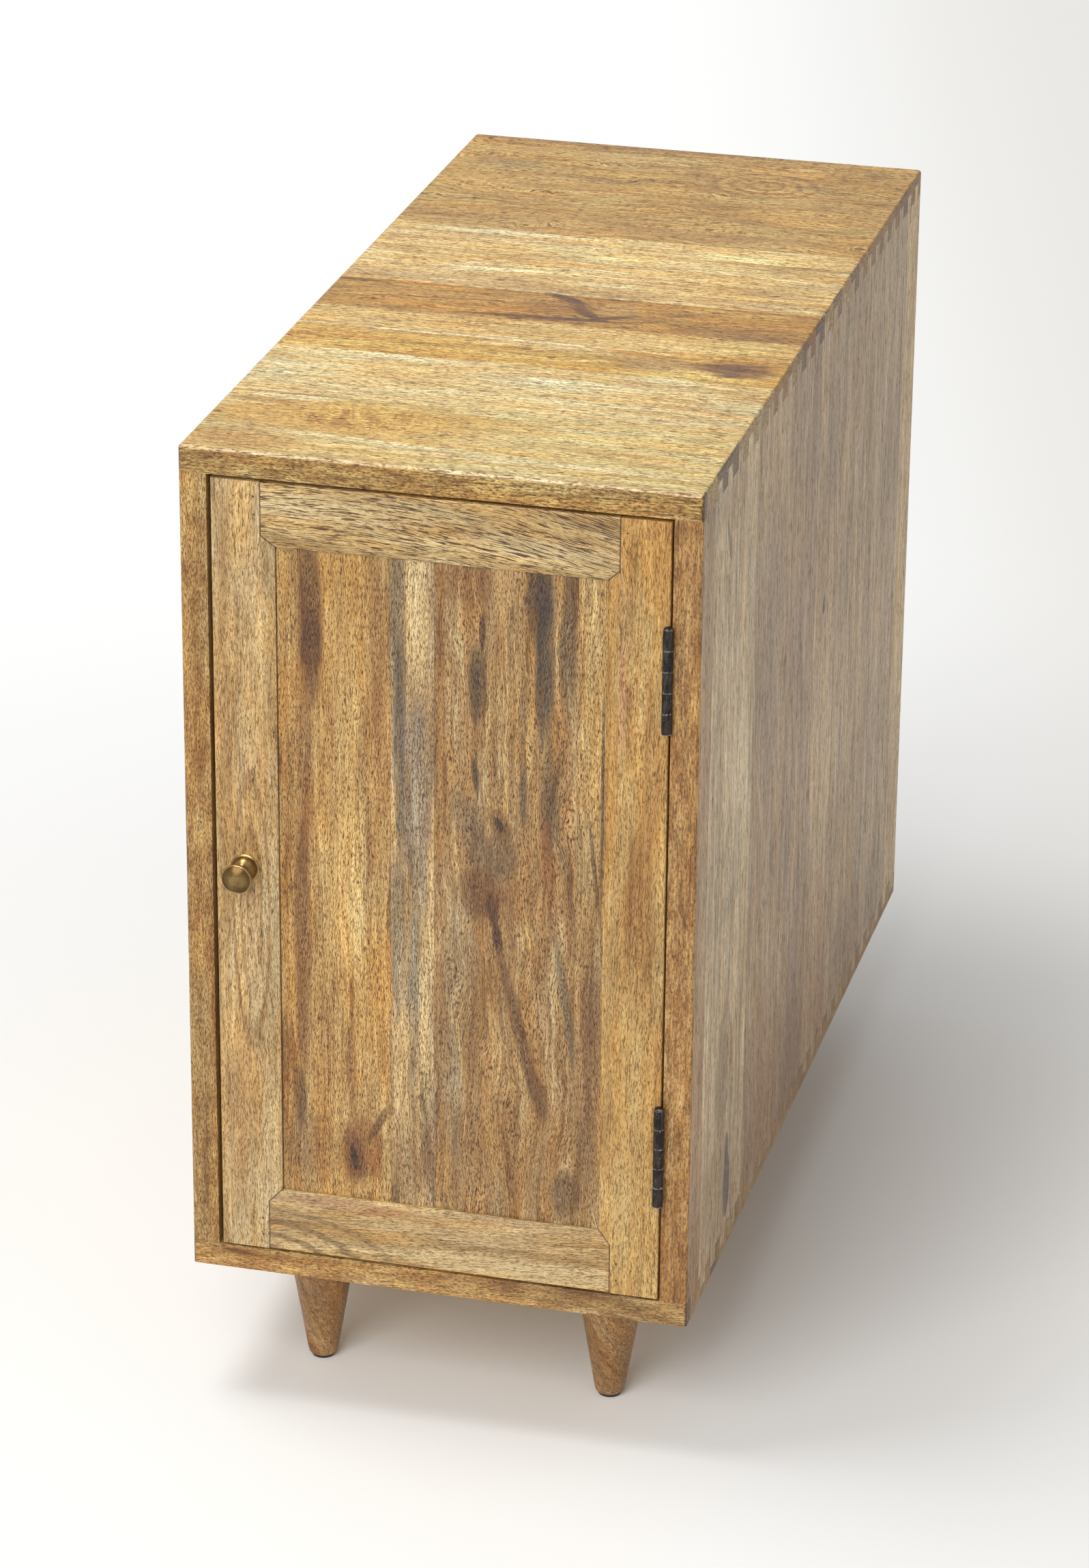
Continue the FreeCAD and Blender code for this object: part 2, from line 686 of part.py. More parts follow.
def make_rail(name, outer, sign):
    """A cross piece of the door frame, with its bevel mitred to the stiles and a tenon at each end."""
    body = new_body(name + "_blank")
    shoulder_left = "(%s + %s)" % (DOOR_LEFT, STILE_FLAT)
    shoulder_right = "(%s - %s)" % (DOOR_RIGHT, STILE_FLAT)
    section = new_sketch(body, name + "_section", "YZ_Plane", (shoulder_left, FRONT_Y, outer))
    steps = section_steps("rail_width", sign)
    corner_side = 1 if sign == "" else -1
    steps[0] = steps[0] + ("door_arris", corner_side)
    outline(section, [(step[1], step[0]) + tuple(step[2:]) for step in steps])
    pad(body, name + "_length", section, "%s - %s" % (shoulder_right, shoulder_left))
    for end, across, way in (("left", shoulder_left, ""), ("right", shoulder_right, "-")):
        mitre = new_sketch(body, "%s_%s_mitre_plan" % (name, end), "XZ_Plane", (across, FRONT_Y, outer))
        outline(mitre, [
            ("0", "%s(%s)" % (sign, RAIL_FLAT)),
            ("%s(bevel_width)" % way, "%s(rail_width)" % sign),
            ("%s(bevel_width)" % way, "%s(rail_width + 1)" % sign),
            ("%s(-1)" % way, "%s(rail_width + 1)" % sign),
            ("%s(-1)" % way, "%s(%s)" % (sign, RAIL_FLAT)),
        ])
        pocket(body, "%s_%s_mitre" % (name, end), mitre, "door_thickness + 1")
    doc.recompute()
    tenons = []
    tenon_low = "(%s + tenon_inset)" % outer if sign == "" else "(%s - tenon_inset - tenon_width)" % outer
    for end, start in (("left", "(%s - tenon_length)" % shoulder_left), ("right", shoulder_right)):
        tenons.append(box("%s_%s_tenon" % (name, end), (start, "(%s + tenon_recess)" % FRONT_Y, tenon_low),
                          ("tenon_length", "tenon_thickness", "tenon_width")))
    return body, tenons


def make_door_panel():
    """The flat panel, which stands in the bottom rail's groove with a little room at its sides."""
    left = "(%s + %s + panel_side_gap)" % (DOOR_LEFT, STILE_FLAT)
    right = "(%s - %s - panel_side_gap)" % (DOOR_RIGHT, STILE_FLAT)
    low = "(%s + %s)" % (DOOR_LOW, RAIL_FLAT)
    high = "(%s - %s - panel_side_gap)" % (DOOR_HIGH, RAIL_FLAT)
    return box("door_panel", (left, "(%s + panel_recess)" % FRONT_Y, low),
               ("%s - %s" % (right, left), "panel_thickness", "%s - %s" % (high, low)))


# ---------------------------------------------------------------- turned pieces
def make_knob(screw):
    """A turned knob: a flanged, belled base, a narrow neck and a flared cap with a shallow cone."""
    body = new_body("knob_turning")
    profile = new_sketch(body, "knob_profile", "YZ_Plane", (KNOB_X, FRONT_Y, KNOB_Z))
    outline(profile, [
        ("0", "knob_base_radius"),
        ("-knob_flange", "knob_base_radius"),
        ("-knob_flange", "knob_dome_radius"),
        ("-knob_dome_end", "knob_neck_radius"),
        ("-knob_neck_end", "knob_neck_radius"),
        ("-knob_flare_end", "knob_cap_radius"),
        ("-knob_rim_end", "knob_cap_radius"),
        ("-knob_reach", "0"),
        ("0", "0"),
    ])
    revolve(body, "knob_turned", profile, "H_Axis")
    doc.recompute()
    return cut("knob", body, [screw])


def make_legs(hanger_bolts, stems):
    """Four straight turned legs, tapering to a small foot."""
    turned = []
    for name, across, deep in LEG_PLACES:
        body = new_body(name + "_leg")
        profile = new_sketch(body, name + "_leg_profile", "XZ_Plane", (across, deep, "0"))
        outline(profile, [
            ("leg_foot_radius", "glide_thickness"),
            ("leg_top_radius", "foot_height"),
            ("0", "foot_height"),
            ("0", "glide_thickness"),
        ])
        revolve(body, name + "_leg_turned", profile, "V_Axis")
        turned.append(body)
    doc.recompute()
    return cut("legs", group("turned_legs", turned), [hanger_bolts] + stems)


def make_glides(stems):
    """Hard plastic glides, each a disc with its stem."""
    made = []
    for (name, across, deep), stem in zip(LEG_PLACES, stems):
        disc = prism(name + "_glide_disc", (across, deep, "0"), "+z", "glide_radius", "glide_thickness",
                     "glide_sides")
        made.append(fuse(name + "_glide", [disc, stem]))
    return group("glides", made)


# ---------------------------------------------------------------- the table
def make_case():
    top = make_flat_board("top_board", INSIDE_HIGH, "top_thickness", "top_first_tongue", False)
    bottom = make_flat_board("bottom_board", "foot_height", "bottom_thickness", "bottom_first_tongue", True)
    left = make_side_board("left_side_board", "-")
    right = make_side_board("right_side_board", "")
    back_corner = ("-(%s + back_lap)" % INNER_X, "(%s - back_thickness)" % BACK_Y,
                   "(%s - back_lap)" % INSIDE_LOW)
    back_height = "%s - %s + 2*back_lap" % (INSIDE_HIGH, INSIDE_LOW)
    back = box("back_blank", back_corner, ("2*(%s + back_lap)" % INNER_X, "back_thickness", back_height))
    shelf = box("shelf", ("-(%s - shelf_side_gap)" % INNER_X, "(%s + shelf_setback)" % FRONT_Y, SHELF_LOW),
                ("2*(%s - shelf_side_gap)" % INNER_X, "case_depth - back_thickness - shelf_setback",
                 "shelf_thickness"))
    return top, bottom, left, right, back, shelf


def make_table():
    """Every sub-part, as the objects whose shapes are written."""
    nodes = []
    back_screws = make_back_screws()
    shelf_pegs = make_shelf_pegs()
    hanger_bolts = make_hanger_bolts()
    stems = make_stems()
    tenon_pins = make_tenon_pins()
    knob_screw = make_knob_screw()
    nodes += [back_screws, shelf_pegs, hanger_bolts, tenon_pins, knob_screw]

    catch = make_catch()
    catch_screws, strike_screws = catch[3], catch[5]
    nodes += catch

    hinges = [make_hinge("upper", "(foot_height + case_height/2 + hinge_spacing/2)"),
              make_hinge("lower", "(foot_height + case_height/2 - hinge_spacing/2)")]
    board_cuts = [tool for hinge in hinges for tool in hinge["board_cuts"]]
    stile_cuts = [tool for hinge in hinges for tool in hinge["stile_cuts"]]
    nodes += [node for hinge in hinges for node in hinge["nodes"]]

    top, bottom, left, right, back, shelf = make_case()
    nodes += [
        cut("top_board", top, [catch_screws]),
        cut("bottom_board", bottom, [hanger_bolts]),
        cut("left_side_board", left, [back_screws, shelf_pegs]),
        cut("right_side_board", right, [back_screws, shelf_pegs] + board_cuts),
        cut("back_panel", back, [back_screws]),
        shelf,
    ]

    low_rail, low_tenons = make_rail("bottom_rail", DOOR_LOW, "")
    high_rail, high_tenons = make_rail("top_rail", DOOR_HIGH, "-")
    latch_stile = make_stile("latch_stile", DOOR_LEFT, "")
    hinge_stile = make_stile("hinge_stile", DOOR_RIGHT, "-")
    nodes += [
        cut("bottom_rail", fuse("bottom_rail_whole", [low_rail] + low_tenons), [tenon_pins]),
        cut("top_rail", fuse("top_rail_whole", [high_rail] + high_tenons), [tenon_pins, strike_screws]),
        cut("latch_stile", latch_stile, [low_tenons[0], high_tenons[0], tenon_pins, knob_screw]),
        cut("hinge_stile", hinge_stile, [low_tenons[1], high_tenons[1], tenon_pins] + stile_cuts),
        make_door_panel(),
        make_knob(knob_screw),
        make_legs(hanger_bolts, stems),
        make_glides(stems),
    ]
    return nodes


def check_document():
    """Stop if any object of the document is in error."""
    failed = [obj.Name for obj in doc.Objects if "Invalid" in obj.State or "Error" in obj.State]
    if failed:
        sys.exit("failed objects: " + ", ".join(failed))


def write_parts(nodes):
    """Check each sub-part's shape and write it under its own label."""
    os.makedirs("parts", exist_ok=True)
    for node in nodes:
        shape = node.Shape
        if shape.isNull() or not shape.isValid() or not shape.Solids:
            sys.exit("bad shape: " + node.Label)
    for node in nodes:
        node.Shape.exportStep(os.path.join("parts", node.Label + ".step"))
        print("%-28s solids %2d  faces %3d  volume %10.1f" %
              (node.Label, len(node.Shape.Solids), len(node.Shape.Faces), node.Shape.Volume))


table = make_table()
doc.recompute()
check_document()
write_parts(table)
print("%d sub-parts" % len(table))
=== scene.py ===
import math

import bpy
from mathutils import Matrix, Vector


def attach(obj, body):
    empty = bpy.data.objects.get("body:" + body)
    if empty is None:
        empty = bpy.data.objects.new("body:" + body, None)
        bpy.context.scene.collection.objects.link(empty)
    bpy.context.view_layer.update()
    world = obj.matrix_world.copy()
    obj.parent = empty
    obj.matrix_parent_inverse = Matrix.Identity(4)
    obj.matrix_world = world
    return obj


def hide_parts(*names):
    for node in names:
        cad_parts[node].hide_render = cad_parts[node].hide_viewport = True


# Looks for the storage side table with a door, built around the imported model.
# Lengths are in millimetres and turned into metres where they are used. Only the camera, the lamps and
# the width of the floor are in metres.
MM = 0.001

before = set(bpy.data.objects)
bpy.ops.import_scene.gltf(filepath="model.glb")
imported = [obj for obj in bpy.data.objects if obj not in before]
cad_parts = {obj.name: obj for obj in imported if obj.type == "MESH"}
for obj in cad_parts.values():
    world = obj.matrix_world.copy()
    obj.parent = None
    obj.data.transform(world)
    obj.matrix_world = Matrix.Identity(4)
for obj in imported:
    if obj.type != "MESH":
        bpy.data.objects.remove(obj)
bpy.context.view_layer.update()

# ------------------------------------------------------------------ places in the table
FRONT = -313.7            # outer face of the case and the door
BACK = 334.3
INNER = 136.5             # inner face of the side boards, either side of the middle
OUTER = 153.0             # outer face of the side boards
TOP = 615.0               # upper face of the top board
INSIDE_LOW = 105.2        # top of the bottom board
INSIDE_HIGH = 599.2       # underside of the top board
DOOR_BACK = -294.7
FINGER_PITCH = 26.9
FINGER_WIDTH = 12.95
FINGER_DEPTH = 9.6
TOP_FINGER = FRONT + 8.2  # where the first finger starts at the top board
LOW_FINGER = FRONT + 10.2
LEG_TOP = 90.0            # where the legs meet the case
LEG_ACROSS = 91.5
LEG_DEEP = (-247.7, 268.3)
HINGE_AXIS = (134.9, -317.1)
HINGE_LOWS = {"upper": 471.15, "lower": 170.35}
HINGE_LENGTH = 63.5
KNUCKLES = 5
KNUCKLE_GAP = 0.2
KNOB_PLACE = (-116.5, FRONT, 356.5)

# a screw's size: radius of the head, radius of the shank, length
LEAF_SCREW = (2.5, 1.4, 13.0)
BACK_SCREW = (3.0, 1.6, 17.8)
CATCH_SCREW = (2.8, 1.5, 22.5)
STRIKE_SCREW = (2.4, 1.3, 9.0)


# ------------------------------------------------------------------ mixing materials
def tone(red, green, blue):
    """A paint-chart colour, 0 to 255, as the linear colour that a shader wants."""
    def linear(part):
        part = part / 255
        return part / 12.92 if part <= 0.04045 else ((part + 0.055) / 1.055) ** 2.4
    return (linear(red), linear(green), linear(blue), 1.0)


class Field:
    """A value that varies over a surface. Arithmetic on it adds the nodes that work it out."""

    def __init__(self, tree, socket):
        self.tree = tree
        self.socket = socket

    def math(self, operation, *others):
        node = self.tree.nodes.new("ShaderNodeMath")
        node.operation = operation
        feed(self.tree, node.inputs[0], self)
        for place, other in enumerate(others, start=1):
            feed(self.tree, node.inputs[place], other)
        return Field(self.tree, node.outputs[0])

    def __add__(self, other):
        return self.math("ADD", other)

    def __sub__(self, other):
        return self.math("SUBTRACT", other)

    def __mul__(self, other):
        return self.math("MULTIPLY", other)

    def __truediv__(self, other):
        return self.math("DIVIDE", other)

    def size(self):
        return self.math("ABSOLUTE")

    def least(self, other):
        return self.math("MINIMUM", other)

    def most(self, other):
        return self.math("MAXIMUM", other)

    def above(self, other):
        return self.math("GREATER_THAN", other)


def feed(tree, socket, source):
    """Link a field into a socket, or set a plain value on it."""
    if isinstance(source, Field):
        tree.links.new(source.socket, socket)
    else:
        socket.default_value = source


class Recipe:
    """A material being mixed. Each call adds one node and hands back what comes out of it."""

    def __init__(self, name):
        self.material = bpy.data.materials.new(name)
        self.material.use_nodes = True
        self.tree = self.material.node_tree
        self.surface = self.tree.nodes["Principled BSDF"]

    def node(self, kind, inputs, out=0, **settings):
        made = self.tree.nodes.new(kind)
        for key, setting in settings.items():
            setattr(made, key, setting)
        for socket, source in inputs.items():
            feed(self.tree, made.inputs[socket], source)
        return Field(self.tree, made.outputs[out])

    def places(self):
        """The object's own x, y and z, in millimetres."""
        where = self.node("ShaderNodeTexCoord", {}, "Object")
        scaled = self.node("ShaderNodeVectorMath", {0: where, "Scale": 1 / MM}, operation="SCALE")
        split = self.tree.nodes.new("ShaderNodeSeparateXYZ")
        feed(self.tree, split.inputs[0], scaled)
        return [Field(self.tree, split.outputs[axis]) for axis in range(3)]

    def point(self, x, y, z=0.0):
        return self.node("ShaderNodeCombineXYZ", {0: x, 1: y, 2: z})

    def noise(self, where, detail=2.0, roughness=0.5, distortion=0.0):
        return self.node("ShaderNodeTexNoise", {"Vector": where, "Scale": 1.0, "Detail": detail,
                                                "Roughness": roughness, "Distortion": distortion})

    def chance(self, number):
        """A random value, one for each whole number."""
        return self.node("ShaderNodeTexWhiteNoise", {"W": number}, 0, noise_dimensions="1D")

    def fade(self, value, start, end):
        """0 before start, 1 after end, with a soft change between them."""
        return self.node("ShaderNodeMapRange", {"Value": value, "From Min": start, "From Max": end},
                         interpolation_type="SMOOTHSTEP")

    def mix(self, amount, first, second, blend="MIX"):
        return self.node("ShaderNodeMix", {0: amount, 6: first, 7: second}, 2, data_type="RGBA",
                         blend_type=blend)

    def steps(self, value, stops, low, high, out=0):
        """Colours that change in steps along a value. A stop is (where it starts, colour). The last of
        the four numbers of each colour comes out on its own as output 1."""
        share = self.node("ShaderNodeMapRange", {"Value": value, "From Min": low, "From Max": high})
        ramp = self.tree.nodes.new("ShaderNodeValToRGB")
        ramp.color_ramp.interpolation = "CONSTANT"
        elements = ramp.color_ramp.elements
        while len(elements) < len(stops):
            elements.new(0.5)
        for element, (start, colour) in zip(elements, stops):
            element.position = min(max((start - low) / (high - low), 0.0), 1.0)
            element.color = colour
        feed(self.tree, ramp.inputs[0], share)
        return Field(self.tree, ramp.outputs[out])

    def oval(self, where, centre, half, tilt=0.0):
        """1 in the middle of an oval, falling evenly to 0 at its rim."""
        inside = self.node("ShaderNodeMapping", {
            "Vector": where, "Location": (centre[0], centre[1], 0.0),
            "Rotation": (0.0, 0.0, math.radians(tilt)), "Scale": (half[0], half[1], 1.0),
        }, vector_type="TEXTURE")
        return self.node("ShaderNodeTexGradient", {"Vector": inside}, 1, gradient_type="SPHERICAL")

    def spot(self, where, centre, half, tilt=0.0, soft=0.7):
        """1 in the middle of an oval and 0 outside it, with a soft rim."""
        return self.fade(self.oval(where, centre, half, tilt), 0.0, soft)

    def bump(self, height, depth):
        """Relief of a given depth in millimetres."""
        return self.node("ShaderNodeBump", {"Strength": 1.0, "Distance": depth * MM, "Height": height})

    def finish(self, colour, roughness, relief=None, **settings):
        feed(self.tree, self.surface.inputs["Base Color"], colour)
        feed(self.tree, self.surface.inputs["Roughness"], roughness)
        if relief is not None:
            feed(self.tree, self.surface.inputs["Normal"], relief)
        for name, setting in settings.items():
            self.surface.inputs[name.replace("_", " ")].default_value = setting
        return self.material


# ------------------------------------------------------------------ timber
class Plank:
    """One stave of a board: where it ends across the board, its dark, middle and pale tones, and how
    far its grain wanders, from 0 to 1."""

    def __init__(self, end, dark, middle, pale, wild=0.4):
        self.end = end
        self.tones = (tone(*dark), tone(*middle), tone(*pale))
        self.wild = wild


class Timber(Recipe):
    """Open-pored hardwood, in the board's own directions: along the grain, across it and into it.

    directions: the letters of those three directions
    start: where the first plank begins, across the board
    knots: (centre, half, turns) of the places that growth lines bend round, and by how many lines
    figure: strength of the growth lines; ring_pitch is their distance and swirl how wavy they are
    streaks: strength of the long streaks
    fibres: strength of the finest threads; thread is their length and width
    strands: strength of the brushed strands among them
    pore: length, width and threshold of the pores; a higher threshold leaves fewer
    wander: how far the grain strays sideways in the wildest plank
    patch: length and width of the broad light and dark patches
    slant, curl: how the grain leans, in degrees, and bows
    warmth: strength of the drift between cool and warm wood
    seed: moves the whole pattern along, so that no two boards match
    """

    def __init__(self, name, directions, start, planks, knots=(), figure=0.35, ring_pitch=7.0, swirl=3.0,
                 streaks=0.5, fibres=1.7, thread=(2.6, 0.5), strands=0.8, pore=(6.0, 0.5, 0.585),
                 wander=22.0, patch=(110.0, 14.0), slant=0.0, curl=0.0, warmth=0.9, seed=0.0):
        super().__init__(name)
        self.axes = dict(zip("xyz", self.places()))
        self.along, self.across, self.deep = (self.axes[letter] for letter in directions)
        self.start = start
        self.planks = planks
        self.seams = [plank.end for plank in planks[:-1]]
        self.fibres = fibres
        self.strands = strands
        self.follow_grain(wander, slant, curl, seed)
        self.draw_patterns(patch, thread, pore)
        self.fray()
        rings = self.growth_lines(knots, ring_pitch, swirl)
        self.colour = self.ground(rings * (figure * 0.2), streaks, warmth)

    def by_plank(self, pick, out=0):
        """What pick gives for each plank in turn, over the width of the board."""
        starts = [self.start] + self.seams
        stops = [(begin, pick(number, plank))
                 for number, (begin, plank) in enumerate(zip(starts, self.planks))]
        return self.steps(self.across, stops, self.start, self.planks[-1].end, out)

    def follow_grain(self, wander, slant, curl, seed):
        """Where a point lies in the grain. Each plank is cut from another part of the pattern, and its
        grain wanders sideways, leans and bows."""
        lot = self.by_plank(lambda number, _: (0.0, 0.0, 0.0, (0.137 + 0.381 * number) % 1.0), 1)
        shift = lot * 2400.0 + seed
        wild = self.by_plank(lambda _, plank: (0.0, 0.0, 0.0, plank.wild), 1) * wander
        self.own = self.along + shift
        bend = self.noise(self.point(self.own / 80, self.across / 34, self.deep / 34), 2.0)
        lean = self.along * math.tan(math.radians(slant)) + self.along * self.along * curl
        self.bent = self.across + (bend - 0.5) * wild + shift / 7 + lean

    def draw_patterns(self, patch, thread, pore):
        """The patterns that run with the grain, from broad patches down to threads and pores."""
        self.broad = self.noise(self.grain(*patch), 4.0, 0.62)
        self.streak = self.noise(self.grain(80.0, 2.8), 4.0, 0.7)
        self.mottle = self.noise(self.grain(22.0, 2.2), 3.0, 0.7)
        self.fibre = self.noise(self.grain(*thread), 2.0, 0.62)
        self.threads = self.fade(self.fibre, 0.32, 0.54)
        self.brush = self.noise(self.grain(34.0, 1.4), 4.0, 0.8)
        self.pores = self.dashes(*pore)

    def fray(self):
        """What breaks up a stain: places on the face that are a little off, and a ragged, gritty rim."""
        off_across, off_along = (self.brush - 0.5) * 2.0, (self.mottle - 0.5) * 8.0
        self.flat = self.point(self.across + off_across, self.along + off_along)
        self.tatter = (self.brush - 0.5) * 3.0 + (self.mottle - 0.5) * 2.2 + (self.fibre - 0.5) * 3.0
        self.grit = self.fade(self.fibre, 0.62, 0.36) * 0.5 + 0.68

    def growth_lines(self, knots, ring_pitch, swirl):
        """Waves across the grain, from -1 to 1, that bend round the knots."""
        ridge = self.bent / ring_pitch + self.broad * swirl
        for centre, half, turns in knots:
            ridge = ridge + self.spot(self.flat, centre, half, soft=1.0) * turns
        return (ridge * (2 * math.pi)).math("SINE")

    def ground(self, rings, streaks, warmth):
        """The wood's own colour, before any stain."""
        value = (self.broad - 0.5) * 2.2 + (self.streak - 0.5) * streaks + (self.mottle - 0.5) * 0.7
        value = value + rings + 0.5
        dark, middle, pale = (
            self.by_plank(lambda _, plank, which=which: plank.tones[which]) for which in range(3))
        colour = self.mix(self.fade(value, -0.05, 0.5), dark, middle)
        colour = self.mix(self.fade(value, 0.5, 1.05), colour, pale)
        warm = self.noise(self.grain(90.0, 11.0), 4.0, 0.6)
        tint = self.mix(self.fade(warm, 0.3, 0.7), tone(240, 247, 255), tone(255, 236, 196))
        return self.mix(warmth, colour, tint, "MULTIPLY")

    def grain(self, length, width):
        """The grain's own coordinates, for a pattern of a given length and width."""
        return self.point(self.own / length, self.bent / width, self.deep / width)

    def dashes(self, length, width, least):
        """Short dashes along the grain, thicker in places, for the pores."""
        crowd = self.noise(self.grain(50.0, 8.0), 2.0)
        drawn = self.noise(self.grain(length, width), 1.0, 0.5) + (crowd - 0.5) * 0.2
        return self.fade(drawn, least, least + 0.07)

    def stain(self, centre, half, colour, strength, tilt=0.0, soft=0.5, ragged=1.0):
        """A streak or patch of another tone. Its centre and half size are (across, along) the grain, and
        its rim is brushed out along the grain."""
        spread, rim = 1.9, 0.42
        amount = self.spot(self.flat, centre, (half[0] * spread, half[1] * spread), tilt, 1.0)
        amount = amount * (self.tatter * ragged + 1.0)
        amount = self.fade(amount, rim - soft / 2, rim + soft / 2) * (self.grit * strength)
        self.colour = self.mix(amount, self.colour, tone(*colour))

    def wash(self, centre, half, ratio):
        """A broad, very soft change: the colour times a ratio for each of red, green and blue."""
        washed = self.mix(1.0, self.colour, (*ratio, 1.0), "MULTIPLY")
        self.colour = self.mix(self.spot(self.flat, centre, half, soft=1.0), self.colour, washed)

    def knot(self, centre, half, heart=(52, 28, 18), halo=(140, 78, 34), tilt=0.0):
        """A small knot: a dark eye in a warm halo."""
        self.stain(centre, (half[0] * 2.6, half[1] * 2.2), halo, 0.8, tilt, soft=0.5, ragged=0.5)
        self.stain(centre, half, heart, 0.95, tilt, soft=0.2, ragged=0.4)

    def arches(self, centre, half, turns, colour, strength):
        """Nested arches, as where a growth ring comes up through the face."""
        inward = self.oval(self.flat, centre, half)
        wave = (inward * turns * 2 * math.pi + self.streak * 3.0).math("SINE")
        amount = self.fade(wave, -0.1, 0.95) * self.fade(inward, 0.0, 0.3) * strength
        self.colour = self.mix(amount, self.colour, tone(*colour))

    def ripple(self, centre, half, dark, strength):
        """Short wavy flecks across the grain, in one area."""
        place = self.point(self.along / 7 + self.across / 40, self.across / 40, self.deep / 40)
        fleck = self.noise(place, 3.0, 0.6, 1.2)
        area = self.spot(self.flat, centre, half, soft=0.6) * strength
        self.colour = self.mix(area * self.fade(fleck, 0.48, 0.6), self.colour, tone(*dark))

    def line(self, distance, half_width, colour, strength):
        """A hairline where a distance is near nothing."""
        amount = self.fade(distance, half_width, half_width * 0.35) * strength
        self.colour = self.mix(amount, self.colour, tone(*colour))

    def glue_lines(self, strength=0.35):
        """A thin line wherever two planks meet."""
        for seam in self.seams:
            self.line((self.across - seam).size(), 0.5, (96, 62, 34), strength)

    def contrast(self, amount, depth, lift):
        """Darken the wood for a low amount and lighten it for a high one, by about the same step in each
        channel as the eye sees it, which needs a larger ratio for the blue than for the red."""
        shares = (1.0, 1.2, 1.65)
        dark = tuple(max(0.04, 1.0 - depth * share) for share in shares) + (1.0,)
        pale = tuple(1.0 + lift * share for share in shares) + (1.0,)
        self.colour = self.mix(1.0, self.colour, self.mix(amount, dark, pale), "MULTIPLY")

    def done(self, pore_strength=0.5, pore_tone=(72, 44, 24)):
        """Lay the pores, threads and strands over all the stains, and finish the material."""
        satin, in_pores, relief = 0.46, 0.2, 0.05
        self.colour = self.mix(self.pores * pore_strength, self.colour, tone(*pore_tone))
        self.contrast(self.threads, self.fibres * 0.32, self.fibres * 0.075)
        self.contrast(self.fade(self.brush, 0.25, 0.75), self.strands * 0.28, self.strands * 0.22)
        height = self.threads - self.pores
        return self.finish(self.colour, self.pores * in_pores + satin, self.bump(height, relief))


def show_fingers(timber, first, base, up, sides, ends):
    """Thin dark lines at the sides and ends of the fingers, stronger at some than at others."""
    y, z = timber.axes["y"], timber.axes["z"]
    step = (y - first) / FINGER_PITCH
    number = step.math("FLOOR")
    across = (step - number) * FINGER_PITCH
    height = (z - base) * up
    tall = height.above(-0.3) * height.math("LESS_THAN", FINGER_DEPTH + 0.3)
    in_finger = across.math("LESS_THAN", FINGER_WIDTH)
    near_side = timber.fade(across, 0.75, 0.2) * tall * sides
    far_side = timber.fade((across - FINGER_WIDTH).size(), 0.6, 0.15) * tall * (sides * 0.4)
    notch = timber.fade(height.size(), 0.6, 0.15) * (in_finger * -1.0 + 1.0) * ends
    tip = timber.fade((height - FINGER_DEPTH).size(), 0.5, 0.15) * in_finger * (ends * 0.35)
    worn = timber.fade(timber.noise(timber.point(y / 17, z / 6, up * 7.3), 2.0, 0.6), 0.4, 0.6)
    amount = near_side.most(far_side).most(notch).most(tip) * (worn * 0.8 + 0.2)
    on_side = timber.axes["x"].size().above(OUTER - 1.2)
    timber.colour = timber.mix(amount * on_side, timber.colour, tone(50, 38, 28))
    return number


def top_fingers(timber):
    """The joint at the top board, where the sides of the fingers show most."""
    return show_fingers(timber, TOP_FINGER, INSIDE_HIGH, up=1.0, sides=0.9, ends=0.3)


def low_fingers(timber):
    """The joint at the bottom board, where the ends of the fingers show most."""
    return show_fingers(timber, LOW_FINGER, INSIDE_LOW, up=-1.0, sides=0.3, ends=0.95)


def end_grain(timber, number, low, high):
    """The ends of the top and bottom boards: greyer, partly as end grain and partly as painted cool shade
    of the sides, with some fingers much darker than others.
    """
    lot = timber.chance(number + 4.0)
    on_end = timber.axes["x"].size().above(OUTER - 1.0)
    # Greying of the ends: partly end grain, partly painted cool shade of the side faces.
    timber.colour = timber.mix(on_end * 0.8, timber.colour, tone(206, 194, 186), "MULTIPLY")
    near_front = timber.fade(timber.axes["y"], FRONT + 110.0, FRONT + 40.0)
    amount = timber.fade(lot + near_front * 0.4, low, high) * timber.fade(timber.mottle, 0.36, 0.5)
    timber.colour = timber.mix(amount * on_end * 0.85, timber.colour, tone(84, 66, 50))


def front_edge(timber, colour, strength, grain):
    """The narrow front edges of the case: a little darker, with dense dark dots and dashes. The letters
    of grain are the directions along and across the edge."""
    on_front = timber.fade(timber.axes["y"], FRONT + 2.6, FRONT + 0.8)
    timber.colour = timber.mix(on_front * strength, timber.colour, tone(*colour), "MULTIPLY")
    along, across = timber.axes[grain[0]], timber.axes[grain[1]]
    fine = timber.noise(timber.point(along / 2.6, across / 0.8), 2.0, 0.6)
    cloud = timber.noise(timber.point(along / 26, across / 7), 4.0, 0.7)
    shade = timber.mix(timber.fade(cloud, 0.32, 0.68), tone(208, 182, 146), tone(255, 255, 250))
    timber.colour = timber.mix(on_front, timber.colour, shade, "MULTIPLY")
    specks = timber.fade(fine + (cloud - 0.5) * -0.2, 0.52, 0.6) * on_front
    timber.colour = timber.mix(specks * 0.7, timber.colour, tone(92, 62, 32))


